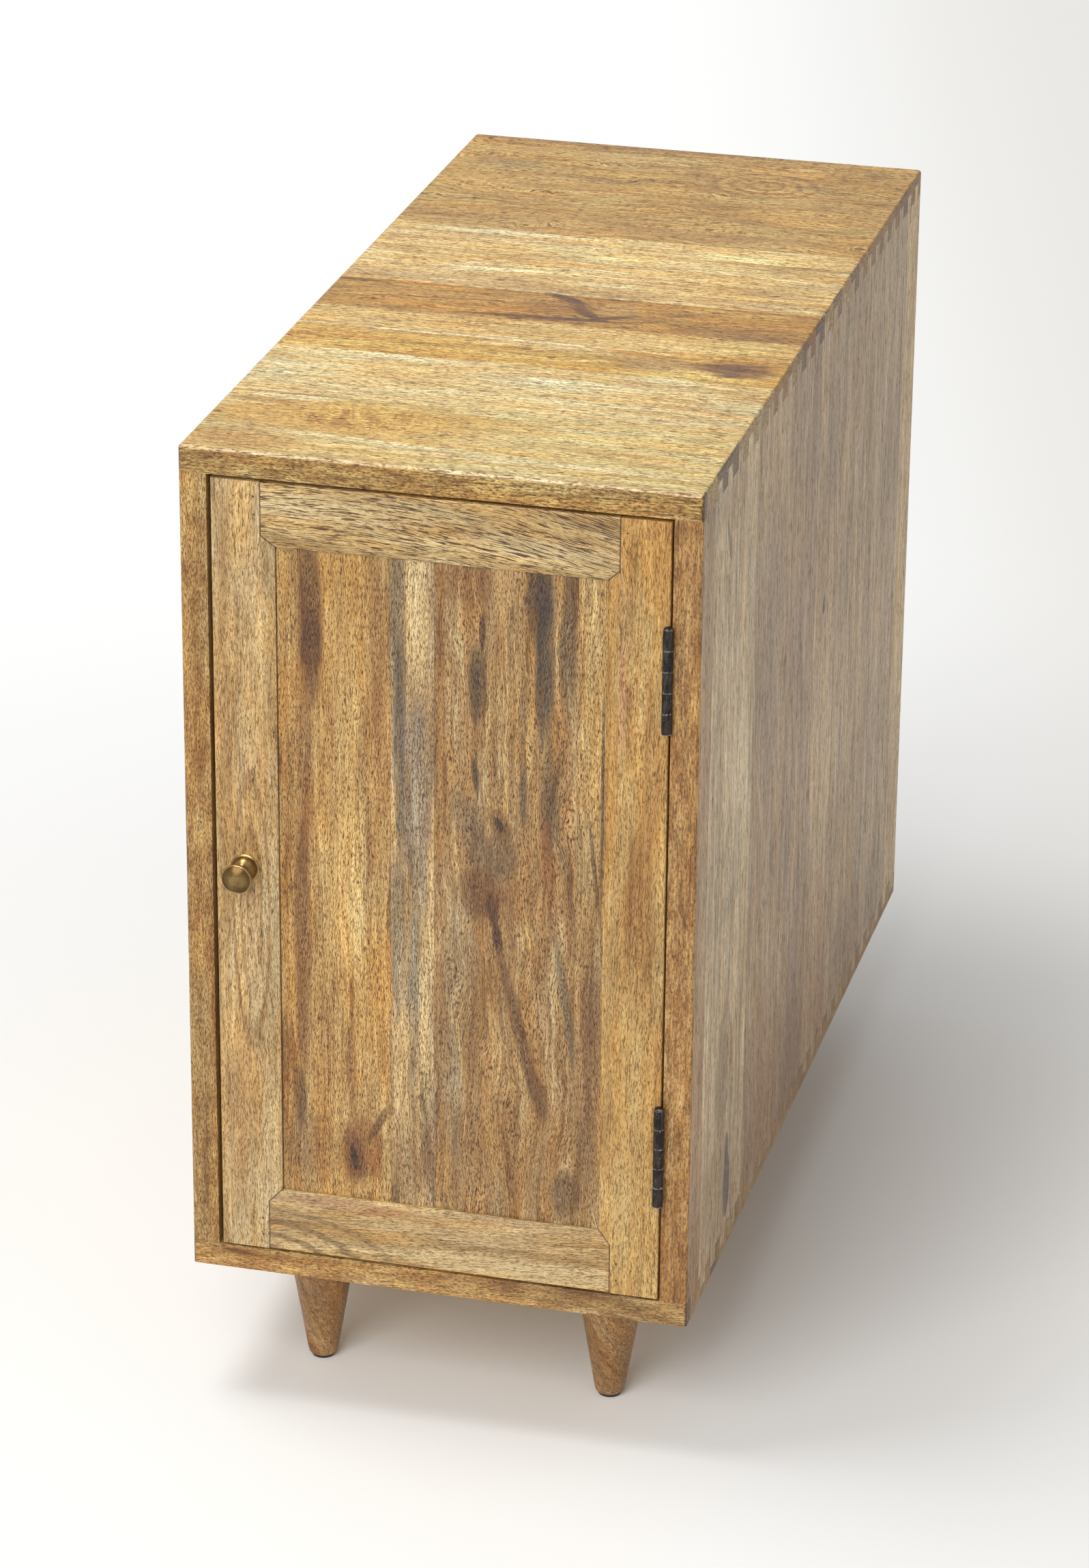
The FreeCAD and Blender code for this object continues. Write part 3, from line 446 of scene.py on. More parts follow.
def make_top_board():
    """Golden staves, one of them much darker and with a broken knot, and a second knot at the right."""
    wood = Timber("top_board_wood", "xyz", FRONT, [
        Plank(-211.5, (195, 170, 104), (222, 198, 135), (241, 228, 168), 0.4),
        Plank(-126.7, (202, 170, 112), (228, 205, 149), (250, 238, 192), 0.3),
        Plank(-80.3, (177, 127, 51), (217, 175, 87), (249, 228, 148), 0.6),
        Plank(-46.0, (189, 150, 89), (221, 188, 121), (247, 223, 163), 0.4),
        Plank(8.5, (140, 94, 38), (188, 144, 67), (222, 178, 90), 0.9),
        Plank(131.7, (197, 162, 102), (235, 205, 143), (255, 245, 191), 0.3),
        Plank(BACK, (162, 123, 64), (201, 164, 95), (225, 190, 117), 1.0),
    ], knots=[
        ((265, 40), (50, 50), 6.0), ((262, -95), (36, 36), 4.0), ((-100, 125), (26, 34), 4.0),
        ((-8, 30), (36, 40), 4.0),
    ], figure=0.4, streaks=1.2, fibres=1.9, thread=(3.0, 0.8), strands=1.6, pore=(9.0, 1.0, 0.57),
        wander=34.0, seed=310.0)
    wood.stain((329, -40), (4, 120), (140, 102, 56), 0.7)
    wood.stain((318, 90), (5, 60), (166, 126, 73), 0.5)
    wood.stain((306, -60), (9, 80), (217, 185, 123), 0.5)
    wood.stain((274, -118), (11, 22), (155, 130, 90), 0.6)
    wood.stain((235, -115), (22, 36), (204, 166, 95), 0.5, soft=0.6)
    wood.stain((268, 20), (30, 9), (157, 119, 69), 0.55, tilt=-20)
    wood.stain((262, 108), (36, 10), (166, 128, 77), 0.4)
    wood.arches((268, 62), (34, 46), 4.0, (140, 105, 60), 0.6)
    wood.stain((158, -60), (14, 110), (172, 134, 78), 0.5, soft=0.6)
    wood.stain((150, 60), (10, 60), (166, 128, 75), 0.4)
    wood.stain((125, -70), (2.6, 52), (236, 223, 175), 0.9)
    wood.stain((115, -100), (3.5, 50), (192, 151, 86), 0.7)
    wood.stain((101, -105), (3, 44), (181, 138, 77), 0.75)
    wood.stain((80, -110), (3, 50), (194, 155, 91), 0.6)
    wood.stain((101, 112), (3, 46), (155, 111, 58), 0.8)
    wood.stain((93, 108), (5, 9), (164, 123, 69), 0.5)
    wood.stain((34, -30), (3, 20), (219, 170, 84), 0.5)
    wood.stain((32, -60), (14, 120), (202, 168, 110), 0.45, soft=0.6)
    wood.stain((6, -142), (1.6, 20), (69, 41, 23), 0.9)
    wood.stain((-10, -90), (7, 50), (192, 151, 90), 0.5)
    wood.stain((-16, -84), (1.4, 30), (114, 75, 41), 0.6, tilt=-6)
    wood.stain((4, -6), (3.6, 15), (70, 34, 18), 1.0, tilt=28, soft=0.25)
    wood.stain((-8, 4), (4.4, 13), (74, 37, 20), 1.0, tilt=62, soft=0.3)
    wood.stain((-22, 14), (4.0, 13), (60, 30, 17), 1.0, tilt=48, soft=0.25)
    wood.stain((-26, 30), (3.0, 15), (68, 37, 20), 1.0, tilt=-30, soft=0.3)
    wood.stain((-12, -4), (9, 24), (125, 83, 47), 0.6)
    wood.stain((-36, -14), (2.5, 46), (56, 29, 16), 1.0, tilt=-3, soft=0.3)
    wood.stain((-37, -14), (5, 20), (110, 68, 38), 0.6)
    wood.stain((-33, 24), (1.3, 18), (72, 43, 25), 0.85)
    wood.stain((-42, -28), (1.8, 5), (65, 37, 23), 0.9)
    wood.stain((-41, 12), (1.5, 6), (89, 56, 34), 0.8)
    wood.stain((-10, 70), (2.6, 8), (97, 64, 38), 0.8, tilt=-30)
    wood.stain((-29, 50), (1.2, 8), (78, 49, 29), 0.85, tilt=-14)
    wood.stain((-10, 30), (11, 12), (187, 157, 102), 0.6)
    wood.stain((-38, 112), (7, 36), (136, 98, 56), 0.6)
    wood.stain((-81.5, -50), (1.8, 110), (238, 229, 191), 0.9)
    wood.stain((-95, -110), (7, 60), (194, 145, 69), 0.6)
    wood.stain((-98, -20), (3, 50), (172, 121, 54), 0.6, tilt=-6)
    wood.stain((-104, -100), (3, 60), (174, 125, 56), 0.5)
    wood.stain((-90, 8), (5, 40), (230, 212, 162), 0.6)
    wood.stain((-102, 78), (12, 24), (187, 159, 110), 0.7)
    wood.stain((-100, 124), (13, 20), (136, 88, 47), 0.85)
    wood.stain((-94, 118), (2.4, 26), (96, 58, 32), 0.8, tilt=-10)
    wood.stain((-100, 128), (3.8, 21), (70, 38, 21), 0.95, tilt=6)
    wood.stain((-107, 120), (2.4, 22), (92, 54, 30), 0.8, tilt=12)
    wood.stain((-113, 122), (2.2, 9), (74, 41, 25), 0.85)
    wood.stain((-163, 110), (2.6, 18), (209, 162, 84), 0.7, tilt=14)
    wood.stain((-178, 122), (3.4, 24), (207, 159, 80), 0.7, tilt=14)
    wood.stain((-193, 104), (2.4, 12), (207, 162, 88), 0.6, tilt=20)
    wood.stain((-243, -70), (26, 76), (206, 157, 69), 0.85)
    wood.ripple((-243, -60), (30, 78), (170, 119, 49), 0.8)
    wood.stain((-216, -112), (4, 22), (236, 219, 175), 0.8)
    wood.stain((-226, -130), (4, 26), (174, 123, 56), 0.7)
    wood.stain((-292, -126), (16, 34), (192, 143, 73), 0.7)
    wood.stain((-278, -60), (3, 60), (232, 217, 171), 0.7, tilt=5)
    wood.stain((-290, 50), (4, 90), (230, 216, 169), 0.6)
    wood.stain((-258, 50), (3, 40), (207, 162, 84), 0.5)
    wood.stain((-309, 0), (3, 150), (177, 140, 84), 0.6)
    wood.wash((40, 150), (420, 75), (0.86, 0.82, 0.74))
    wood.wash((-104, -70), (26, 90), (1.06, 1.14, 1.16))
    wood.wash((18, 0), (16, 400), (0.80, 0.75, 0.74))
    wood.wash((-20, 0), (30, 300), (1.0, 0.96, 0.86))
    wood.wash((-236, -60), (30, 60), (1.06, 1.14, 1.1))
    wood.wash((-270, -150), (60, 90), (0.86, 0.8, 0.7))
    wood.wash((106, 95), (28, 70), (1.15, 1.24, 1.22))
    wood.wash((284, 135), (56, 66), (0.88, 0.82, 0.64))
    wood.wash((-63, 128), (20, 44), (1.24, 1.34, 1.22))
    wood.wash((-102, 60), (24, 48), (0.8, 0.76, 0.66))
    wood.wash((18, -132), (14, 46), (0.82, 0.76, 0.66))
    wood.glue_lines(0.3)
    end_grain(wood, top_fingers(wood), 0.65, 0.9)
    front_edge(wood, (226, 216, 198), 0.95, "xz")
    # A painted highlight: a thin pale line along the top front edge, where its rounding catches the light.
    highlight_edge = wood.axes["y"] - wood.axes["z"] + (TOP - FRONT)
    wood.line(highlight_edge, 2.6, (244, 222, 176), 0.55)
    return wood.done(pore_strength=0.75, pore_tone=(100, 66, 34))


def make_bottom_board():
    """Plain staves, seen only at their edges."""
    wood = Timber("bottom_board_wood", "xyz", FRONT, [
        Plank(-180.0, (150, 116, 70), (197, 166, 114), (235, 210, 156)),
        Plank(-40.0, (152, 116, 70), (199, 164, 110), (233, 206, 152)),
        Plank(120.0, (142, 108, 66), (191, 156, 104), (225, 196, 142)),
        Plank(BACK, (150, 114, 70), (197, 162, 108), (231, 204, 150)),
    ], seed=1900.0)
    wood.glue_lines()
    end_grain(wood, low_fingers(wood), 0.9, 1.2)
    front_edge(wood, (252, 246, 236), 0.9, "xz")
    return wood.done()


def make_right_side():
    """Nine upright staves of greyer brown, the grey partly the board's own tone and partly painted cool
    shade of this side, with soft swirls and a dark knot low near the front.
    """
    wood = Timber("right_side_wood", "zyx", FRONT, [
        Plank(-283.8, (169, 138, 105), (198, 164, 126), (221, 187, 147), 0.3),
        Plank(-168.7, (180, 155, 123), (218, 193, 156), (251, 228, 191), 0.5),
        Plank(-61.7, (161, 133, 104), (192, 163, 130), (223, 193, 156), 0.8),
        Plank(11.0, (151, 125, 102), (184, 156, 129), (207, 181, 151), 0.6),
        Plank(85.7, (163, 133, 105), (201, 172, 137), (232, 204, 166), 0.6),
        Plank(120.0, (157, 134, 105), (193, 167, 135), (221, 196, 160), 0.3),
        Plank(198.8, (157, 132, 103), (193, 166, 134), (224, 198, 162), 0.4),
        Plank(287.6, (166, 141, 115), (200, 175, 145), (224, 201, 170), 0.5),
        Plank(BACK, (187, 156, 120), (223, 194, 152), (247, 219, 177), 0.3),
    ], knots=[
        ((-222, 430), (50, 110), 3.5), ((-225, 230), (34, 60), 4.5), ((43, 415), (12, 16), 2.5),
        ((-20, 120), (40, 90), 3.0),
    ], figure=0.5, streaks=1.6, fibres=1.1, thread=(4.0, 1.0), strands=1.3, pore=(9.0, 1.2, 0.58),
        warmth=0.6)
    wood.stain((-188, 420), (10, 90), (228, 206, 165), 0.55, soft=0.6)
    wood.stain((-228, 326), (36, 7), (172, 153, 120), 0.5, soft=0.5)
    wood.stain((-232, 216), (14, 32), (166, 142, 111), 0.7, soft=0.5)
    wood.arches((-222, 224), (26, 56), 2.5, (156, 134, 105), 0.4)
    wood.stain((-240, 140), (24, 34), (178, 147, 109), 0.5, soft=0.6)
    wood.stain((-210, 134), (8.5, 20), (96, 83, 78), 0.95, soft=0.15, ragged=0.3)
    wood.stain((-212, 158), (4.5, 11), (104, 91, 84), 0.9, soft=0.2, ragged=0.3)
    wood.stain((-205, 216), (2.5, 5), (127, 105, 88), 0.8, ragged=0.3)
    wood.stain((-243, 563), (2.6, 14), (127, 110, 101), 0.85, tilt=24, ragged=0.4)
    wood.stain((-216, 505), (5, 14), (176, 147, 122), 0.6, tilt=10)
    wood.stain((-230, 585), (30, 12), (182, 147, 115), 0.5, soft=0.5)
    wood.stain((-270, 590), (16, 14), (156, 138, 117), 0.5, soft=0.5)
    wood.stain((-140, 358), (2.6, 28), (224, 198, 153), 0.8, tilt=25)
    wood.stain((-136, 262), (2.6, 36), (220, 190, 145), 0.75, tilt=8)
    wood.stain((-118, 250), (2.2, 22), (213, 184, 138), 0.7)
    wood.stain((-62, 232), (2.6, 28), (213, 184, 140), 0.7, tilt=-8)
    wood.stain((-78, 530), (2.6, 26), (209, 182, 142), 0.65, tilt=12)
    wood.stain((-166, 455), (2, 30), (213, 188, 151), 0.6, tilt=8)
    wood.stain((-118, 430), (34, 90), (164, 142, 120), 0.5, soft=0.7)
    wood.stain((-120, 170), (36, 60), (174, 138, 103), 0.55, soft=0.7)
    wood.stain((-40, 490), (11, 36), (205, 171, 128), 0.6, soft=0.5)
    wood.stain((-22, 140), (24, 50), (149, 124, 97), 0.55, soft=0.7)
    wood.stain((60, 535), (18, 60), (156, 136, 109), 0.55, soft=0.6)
    wood.stain((50, 300), (24, 80), (207, 182, 145), 0.45, soft=0.7)
    wood.stain((50, 160), (28, 60), (191, 151, 111), 0.5, soft=0.7)
    wood.stain((43, 415), (4, 5), (100, 91, 86), 0.9, soft=0.3, ragged=0.3)
    wood.stain((82, 330), (1.4, 110), (116, 95, 74), 0.6)
    wood.stain((115, 410), (3, 60), (131, 116, 101), 0.6)
    wood.stain((150, 390), (12, 50), (203, 175, 134), 0.5, soft=0.5)
    wood.stain((158, 215), (3, 26), (213, 184, 140), 0.6)
    wood.stain((178, 500), (6, 50), (145, 122, 94), 0.5)
    wood.stain((194, 385), (1.8, 40), (100, 87, 76), 0.75)
    wood.stain((150, 130), (40, 30), (149, 124, 97), 0.5, soft=0.7)
    wood.stain((250, 420), (26, 60), (166, 142, 115), 0.5, soft=0.7)
    wood.stain((250, 130), (28, 30), (162, 138, 111), 0.5, soft=0.7)
    wood.stain((282, 500), (1.6, 60), (96, 77, 57), 0.85)
    wood.stain((284, 300), (1.6, 60), (125, 101, 76), 0.7)
    # These washes are mostly painted light and shade on this side: a lighter band across its middle height,
    # painted shade over its lower part, and smaller lighter and darker patches, with some true changes of
    # tone among them.
    wood.wash((90, 350), (400, 90), (1.17, 1.18, 1.19))
    wood.wash((-226, 410), (60, 70), (1.18, 1.2, 1.25))
    wood.wash((-60, 105), (460, 120), (0.76, 0.7, 0.68))
    wood.wash((-115, 560), (60, 90), (1.14, 1.17, 1.2))
    wood.wash((48, 505), (46, 80), (0.84, 0.85, 0.9))
    wood.wash((-205, 400), (44, 64), (1.22, 1.26, 1.3))
    wood.wash((70, 290), (150, 60), (1.2, 1.23, 1.23))
    wood.wash((-212, 205), (50, 80), (0.82, 0.78, 0.78))
    wood.wash((-296, 118), (34, 60), (0.8, 0.74, 0.7))
    wood.wash((-296, 596), (34, 40), (0.78, 0.78, 0.76))
    wood.wash((-110, 590), (70, 46), (1.18, 1.22, 1.27))
    wood.glue_lines(0.3)
    top_fingers(wood)
    low_fingers(wood)
    front_edge(wood, (250, 238, 196), 0.95, "zx")
    return wood.done(pore_strength=0.5, pore_tone=(92, 68, 48))


def make_left_side():
    """The same kind of staves as the right side, in warmer tones."""
    wood = Timber("left_side_wood", "zyx", FRONT, [
        Plank(-250.0, (152, 119, 72), (198, 166, 113), (234, 207, 149), 0.6),
        Plank(-140.0, (156, 123, 76), (204, 174, 120), (240, 215, 163), 0.4),
        Plank(-30.0, (142, 109, 70), (192, 158, 109), (228, 197, 145), 0.7),
        Plank(60.0, (161, 129, 84), (208, 180, 127), (242, 220, 170), 0.3),
        Plank(180.0, (144, 111, 70), (196, 164, 113), (232, 205, 152), 0.6),
        Plank(BACK, (152, 123, 79), (202, 174, 120), (238, 213, 161), 0.4),
    ], knots=[((-190, 300), (30, 90), 4.0), ((100, 420), (24, 60), 4.0)], seed=5200.0)
    wood.arches((-190, 300), (28, 110), 4.0, (150, 108, 66), 0.4)
    wood.stain((-200, 500), (7, 60), (106, 70, 42), 0.7)
    wood.stain((-80, 220), (9, 80), (118, 82, 52), 0.6)
    wood.stain((90, 240), (6, 80), (96, 76, 60), 0.7)
    wood.stain((10, 430), (8, 110), (216, 178, 122), 0.5)
    wood.knot((100, 420), (5, 8))
    wood.glue_lines()
    top_fingers(wood)
    low_fingers(wood)
    front_edge(wood, (250, 244, 232), 0.9, "zx")
    return wood.done()


def door_lines(timber):
    """Hairlines where the rails meet the stiles: the shoulders, and the mitres of the bevel."""
    middle_x, middle_z = 0.55, 351.75
    shoulder, flat = 105.15, 213.45
    across = (timber.axes["x"] - middle_x).size()
    up = (timber.axes["z"] - middle_z).size()
    on_rail = up.above(flat)
    mitre = (across * -1.0 + up + (shoulder - flat)).size() * 0.7071
    straight = (across - shoulder).size()
    gap = straight * on_rail + (mitre + up.math("LESS_THAN", flat - 8.0) * 50.0) * (on_rail * -1.0 + 1.0)
    timber.line(gap, 0.55, (60, 36, 20), 0.85)


def make_latch_stile():
    """The stile with the knob, with nested arches in its grain."""
    wood = Timber("latch_stile_wood", "zxy", -140.0, [
        Plank(-90.0, (159, 128, 83), (197, 167, 120), (223, 196, 147), 0.4),
    ], knots=[
        ((-113, 215), (13, 55), 5.0), ((-108, 470), (14, 90), 2.0),
    ], figure=0.6, ring_pitch=6.0, swirl=2.5, streaks=0.9, seed=700.0)
    wood.arches((-113, 330), (15, 118), 3.5, (140, 101, 60), 0.6)
    wood.stain((-112, 290), (4, 40), (208, 183, 140), 0.6)
    wood.stain((-128, 440), (4, 110), (148, 110, 62), 0.55)
    wood.stain((-122, 190), (6, 50), (154, 112, 70), 0.5)
    wood.stain((-104, 150), (5, 40), (208, 183, 140), 0.5)
    wood.stain((-126, 560), (3, 30), (140, 101, 56), 0.5)
    door_lines(wood)
    return wood.done(pore_strength=0.6)


def make_hinge_stile():
    """The stile beside the hinges, straight-grained, with a reddish streak near its top."""
    wood = Timber("hinge_stile_wood", "zxy", 90.0, [
        Plank(140.0, (147, 108, 56), (189, 150, 90), (221, 188, 125), 0.5),
    ], figure=0.4, streaks=0.9, patch=(90.0, 14.0), seed=1500.0)
    wood.stain((120, 350), (8, 50), (138, 91, 45), 0.6)
    wood.stain((126, 450), (4, 60), (138, 96, 50), 0.5)
    wood.stain((108, 505), (1.8, 46), (190, 139, 98), 0.8)
    wood.stain((112, 488), (2, 10), (138, 89, 54), 0.7)
    wood.stain((118, 230), (10, 90), (196, 163, 102), 0.5, soft=0.6)
    wood.stain((110, 150), (8, 40), (198, 169, 113), 0.5, soft=0.6)
    door_lines(wood)
    return wood.done(pore_strength=0.6)


def make_top_rail():
    """A plain rail with long pores in a slow bow."""
    wood = Timber("top_rail_wood", "xzy", 550.0, [
        Plank(600.0, (151, 120, 74), (196, 167, 116), (228, 207, 158), 0.3),
    ], figure=0.2, fibres=1.5, thread=(3.0, 0.5), strands=0.9, pore=(11.0, 0.66, 0.545), slant=6.0,
        curl=0.0006, seed=2300.0)
    wood.stain((584, -60), (7, 60), (208, 186, 140), 0.5)
    wood.stain((574, 60), (6, 60), (204, 180, 137), 0.5)
    door_lines(wood)
    return wood.done(pore_strength=0.9)


def make_bottom_rail():
    """A rail with nested arches at its left end."""
    wood = Timber("bottom_rail_wood", "xzy", 100.0, [
        Plank(150.0, (142, 113, 69), (185, 154, 104), (224, 196, 143), 0.4),
    ], figure=0.3, strands=1.0, slant=-4.0, seed=3100.0)
    wood.arches((100, -112), (42, 105), 5.0, (128, 101, 67), 0.75)
    wood.stain((132, 20), (5, 70), (206, 180, 134), 0.6)
    wood.stain((114, 50), (7, 70), (219, 197, 151), 0.6)
    wood.stain((124, 60), (3, 50), (152, 122, 83), 0.6)
    wood.stain((141, -60), (3, 40), (139, 78, 37), 0.6)
    door_lines(wood)
    return wood.done(pore_strength=0.55)


def make_panel_wood():
    """Four upright staves, the third one wild, with dark streaks and two small knots."""
    wood = Timber("door_panel_wood", "zxy", -100.0, [
        Plank(-29.5, (141, 98, 49), (189, 150, 90), (214, 180, 117), 0.3),
        Plank(-3.3, (128, 107, 77), (188, 160, 117), (234, 208, 154), 0.3),
        Plank(80.7, (116, 85, 50), (168, 132, 85), (204, 175, 123), 1.0),
        Plank(110.0, (137, 103, 59), (179, 146, 95), (206, 175, 121), 0.4),
    ], knots=[
        ((-52, 175), (18, 36), 4.0), ((35, 400), (16, 24), 5.0), ((35, 340), (30, 60), 3.0),
        ((50, 170), (40, 50), 3.0),
    ], streaks=1.6, fibres=2.2, strands=1.2, pore=(6.0, 0.45, 0.59), seed=4200.0)
    # first plank
    wood.stain((-58, 450), (12, 110), (196, 160, 97), 0.6, soft=0.6)
    wood.stain((-77, 515), (6.5, 48), (88, 52, 28), 0.9, soft=0.5)
    wood.stain((-76, 500), (6, 16), (77, 44, 24), 0.7, soft=0.5)
    wood.stain((-80, 420), (4, 60), (137, 91, 46), 0.7, soft=0.5)
    wood.stain((-83, 310), (4.5, 70), (117, 74, 38), 0.85, soft=0.4)
    wood.stain((-85, 208), (3.4, 18), (83, 49, 28), 0.9)
    wood.stain((-36, 500), (5, 50), (139, 93, 48), 0.75)
    wood.stain((-43, 450), (4, 40), (143, 96, 49), 0.65, tilt=-10)
    wood.stain((-38, 410), (7, 50), (156, 111, 61), 0.5, soft=0.6)
    wood.stain((-64, 430), (3, 50), (158, 113, 61), 0.5)
    wood.stain((-54, 235), (2.4, 26), (137, 91, 48), 0.7)
    wood.stain((-70, 255), (10, 50), (189, 151, 92), 0.5, soft=0.6)
    wood.stain((-48, 178), (12, 20), (137, 85, 42), 0.75, soft=0.5)
    wood.stain((-38, 196), (2.4, 14), (85, 51, 28), 0.85, tilt=-28)
    wood.stain((-72, 176), (8, 20), (146, 100, 53), 0.5, soft=0.6)
    wood.stain((-44, 155), (8, 6), (194, 154, 92), 0.8)
    wood.knot((-52.5, 173), (2.2, 7.5), (45, 25, 17), (102, 59, 32), tilt=8)
    # second plank
    wood.stain((-25, 510), (4.5, 70), (93, 84, 67), 0.75)
    wood.stain((-12, 525), (5, 40), (209, 182, 126), 0.85)
    wood.stain((-15, 420), (11, 46), (123, 109, 94), 0.75, soft=0.5)
    wood.stain((-24, 440), (3, 60), (77, 71, 62), 0.7)
    wood.stain((-14, 395), (1.6, 30), (180, 164, 130), 0.7)
    wood.stain((-25, 325), (4, 44), (82, 77, 67), 0.65)
    wood.stain((-15, 300), (4, 36), (126, 121, 103), 0.75)
    wood.stain((-9, 268), (3, 44), (207, 181, 128), 0.8)
    wood.stain((-22, 250), (5, 26), (196, 167, 113), 0.7, tilt=-8)
    wood.stain((-16, 180), (10, 30), (137, 108, 67), 0.6, soft=0.6)
    wood.stain((-8, 182), (3, 18), (113, 83, 51), 0.6)
    # third plank
    wood.stain((16, 548), (14, 14), (124, 83, 44), 0.75)
    wood.stain((40, 550), (8, 14), (183, 147, 96), 0.6)
    wood.stain((59, 542), (7, 24), (54, 47, 42), 0.9)
    wood.stain((62, 500), (5, 42), (61, 54, 47), 0.92)
    wood.stain((75, 510), (4.5, 40), (82, 64, 44), 0.8)
    wood.stain((64, 420), (4.5, 34), (85, 70, 51), 0.75)
    wood.stain((50, 420), (2.2, 20), (78, 67, 52), 0.75)
    wood.stain((49, 470), (2, 24), (88, 67, 46), 0.6)
    wood.stain((22, 484), (4.5, 22), (65, 54, 44), 0.92)
    wood.stain((21, 430), (1.8, 10), (58, 47, 40), 0.9, tilt=8)
    wood.stain((25, 518), (1.7, 11), (82, 49, 34), 0.95, ragged=0.3)
    wood.stain((20, 392), (8, 26), (113, 93, 69), 0.7, tilt=22)
    wood.stain((37, 380), (8, 15), (95, 78, 59), 0.7)
    wood.stain((24, 354), (13, 15), (93, 56, 31), 0.8, tilt=30)
    wood.stain((46, 352), (12, 12), (152, 104, 59), 0.6)
    wood.stain((31, 346), (3, 10), (72, 44, 29), 0.85, tilt=10)
    wood.stain((35, 328), (2.6, 10), (72, 47, 33), 0.9, tilt=10, ragged=0.4)
    wood.stain((66, 368), (3, 40), (134, 85, 46), 0.75, tilt=6)
    wood.stain((12, 284), (12, 44), (119, 91, 61), 0.6, soft=0.5)
    wood.stain((48, 270), (3.6, 46), (91, 60, 36), 0.85, tilt=14)
    wood.stain((60, 228), (5, 16), (88, 57, 34), 0.75, tilt=14)
    wood.stain((76, 290), (3, 34), (83, 73, 59), 0.8, tilt=8)
    wood.stain((62, 278), (3, 44), (189, 154, 105), 0.7, tilt=14)
    wood.stain((8, 215), (5, 40), (123, 104, 78), 0.55)
    wood.stain((40, 190), (26, 28), (145, 109, 65), 0.5, soft=0.7)
    wood.stain((77, 166), (8, 14), (85, 58, 36), 0.75)
    wood.knot((35.5, 400), (2.0, 4.6), (51, 35, 24), (113, 80, 49), tilt=26)
    # fourth plank
    wood.stain((96.5, 415), (1.0, 62), (54, 36, 22), 0.9)
    wood.stain((93, 372), (1.2, 30), (72, 49, 31), 0.8, tilt=6)
    wood.stain((90, 250), (7, 80), (143, 108, 65), 0.5, soft=0.6)
    # broad tones
    wood.wash((-84, 420), (18, 190), (0.84, 0.8, 0.78))
    wood.wash((-84, 172), (18, 50), (0.6, 0.55, 0.62))
    wood.wash((-52, 350), (26, 150), (1.16, 1.26, 1.36))
    wood.wash((-60, 540), (44, 50), (0.92, 0.86, 0.74))
    wood.wash((-24, 270), (9, 90), (1.25, 1.22, 1.16))
    wood.wash((-10, 470), (9, 34), (0.76, 0.76, 0.82))
    wood.wash((-10, 350), (9, 38), (0.72, 0.75, 0.92))
    wood.wash((-9, 250), (9, 60), (1.22, 1.18, 1.12))
    wood.wash((8, 310), (18, 160), (1.03, 1.1, 1.26))
    wood.wash((32, 475), (16, 50), (1.2, 1.28, 1.3))
    wood.wash((47, 495), (15, 80), (1.2, 1.26, 1.24))
    wood.wash((90, 490), (14, 130), (1.18, 1.24, 1.2))
    wood.wash((90, 230), (14, 140), (0.66, 0.6, 0.66))
    wood.wash((-50, 335), (17, 75), (1.25, 1.32, 1.45))
    wood.wash((-29, 470), (11, 44), (1.22, 1.24, 1.24))
    wood.wash((-28, 290), (12, 46), (1.25, 1.22, 1.2))
    wood.wash((10, 235), (16, 46), (1.24, 1.34, 1.44))
    wood.wash((49, 470), (13, 50), (1.18, 1.28, 1.34))
    wood.wash((90, 290), (14, 44), (0.8, 0.75, 0.78))
    wood.wash((-10, 172), (16, 34), (0.78, 0.7, 0.72))
    wood.wash((-92, 172), (14, 30), (0.8, 0.78, 0.84))
    wood.glue_lines(0.2)
    open_joint = -97.1
    wood.line((wood.across - open_joint).size(), 0.9, (40, 26, 16), 0.85)
    return wood.done(pore_strength=0.8)


def make_shelf_wood():
    """Plain staves, running from side to side."""
    wood = Timber("shelf_wood", "xyz", -300.0, [
        Plank(-120.0, (146, 108, 66), (192, 154, 102), (226, 192, 140)),
        Plank(90.0, (138, 100, 60), (184, 144, 94), (216, 180, 128)),
        Plank(BACK, (150, 114, 70), (198, 160, 108), (230, 196, 144)),
    ], seed=6100.0)
    wood.glue_lines()
    return wood.done()


def make_back_wood():
    """One sheet of veneer with large, wavy figure."""
    wood = Timber("back_panel_wood", "zxy", -160.0, [
        Plank(160.0, (150, 112, 70), (190, 152, 104), (216, 182, 134), 1.0),
    ], figure=0.8, ring_pitch=16.0, swirl=4.5, streaks=0.4, fibres=1.2, wander=40.0, seed=7400.0)
    return wood.done(pore_strength=0.4)


def make_leg_wood():
    """Darker wood with short pores and a slanting grain, as a turned taper shows it."""
    wood = Timber("turned_leg_wood", "zxy", -120.0, [
        Plank(120.0, (120, 86, 50), (158, 120, 76), (190, 152, 104), 1.0),
    ], figure=0.25, streaks=0.7, fibres=2.0, strands=1.6, pore=(2.2, 0.9, 0.6), patch=(60.0, 20.0),
        slant=30.0, seed=8100.0)
    return wood.done(pore_strength=0.5, pore_tone=(86, 54, 32))


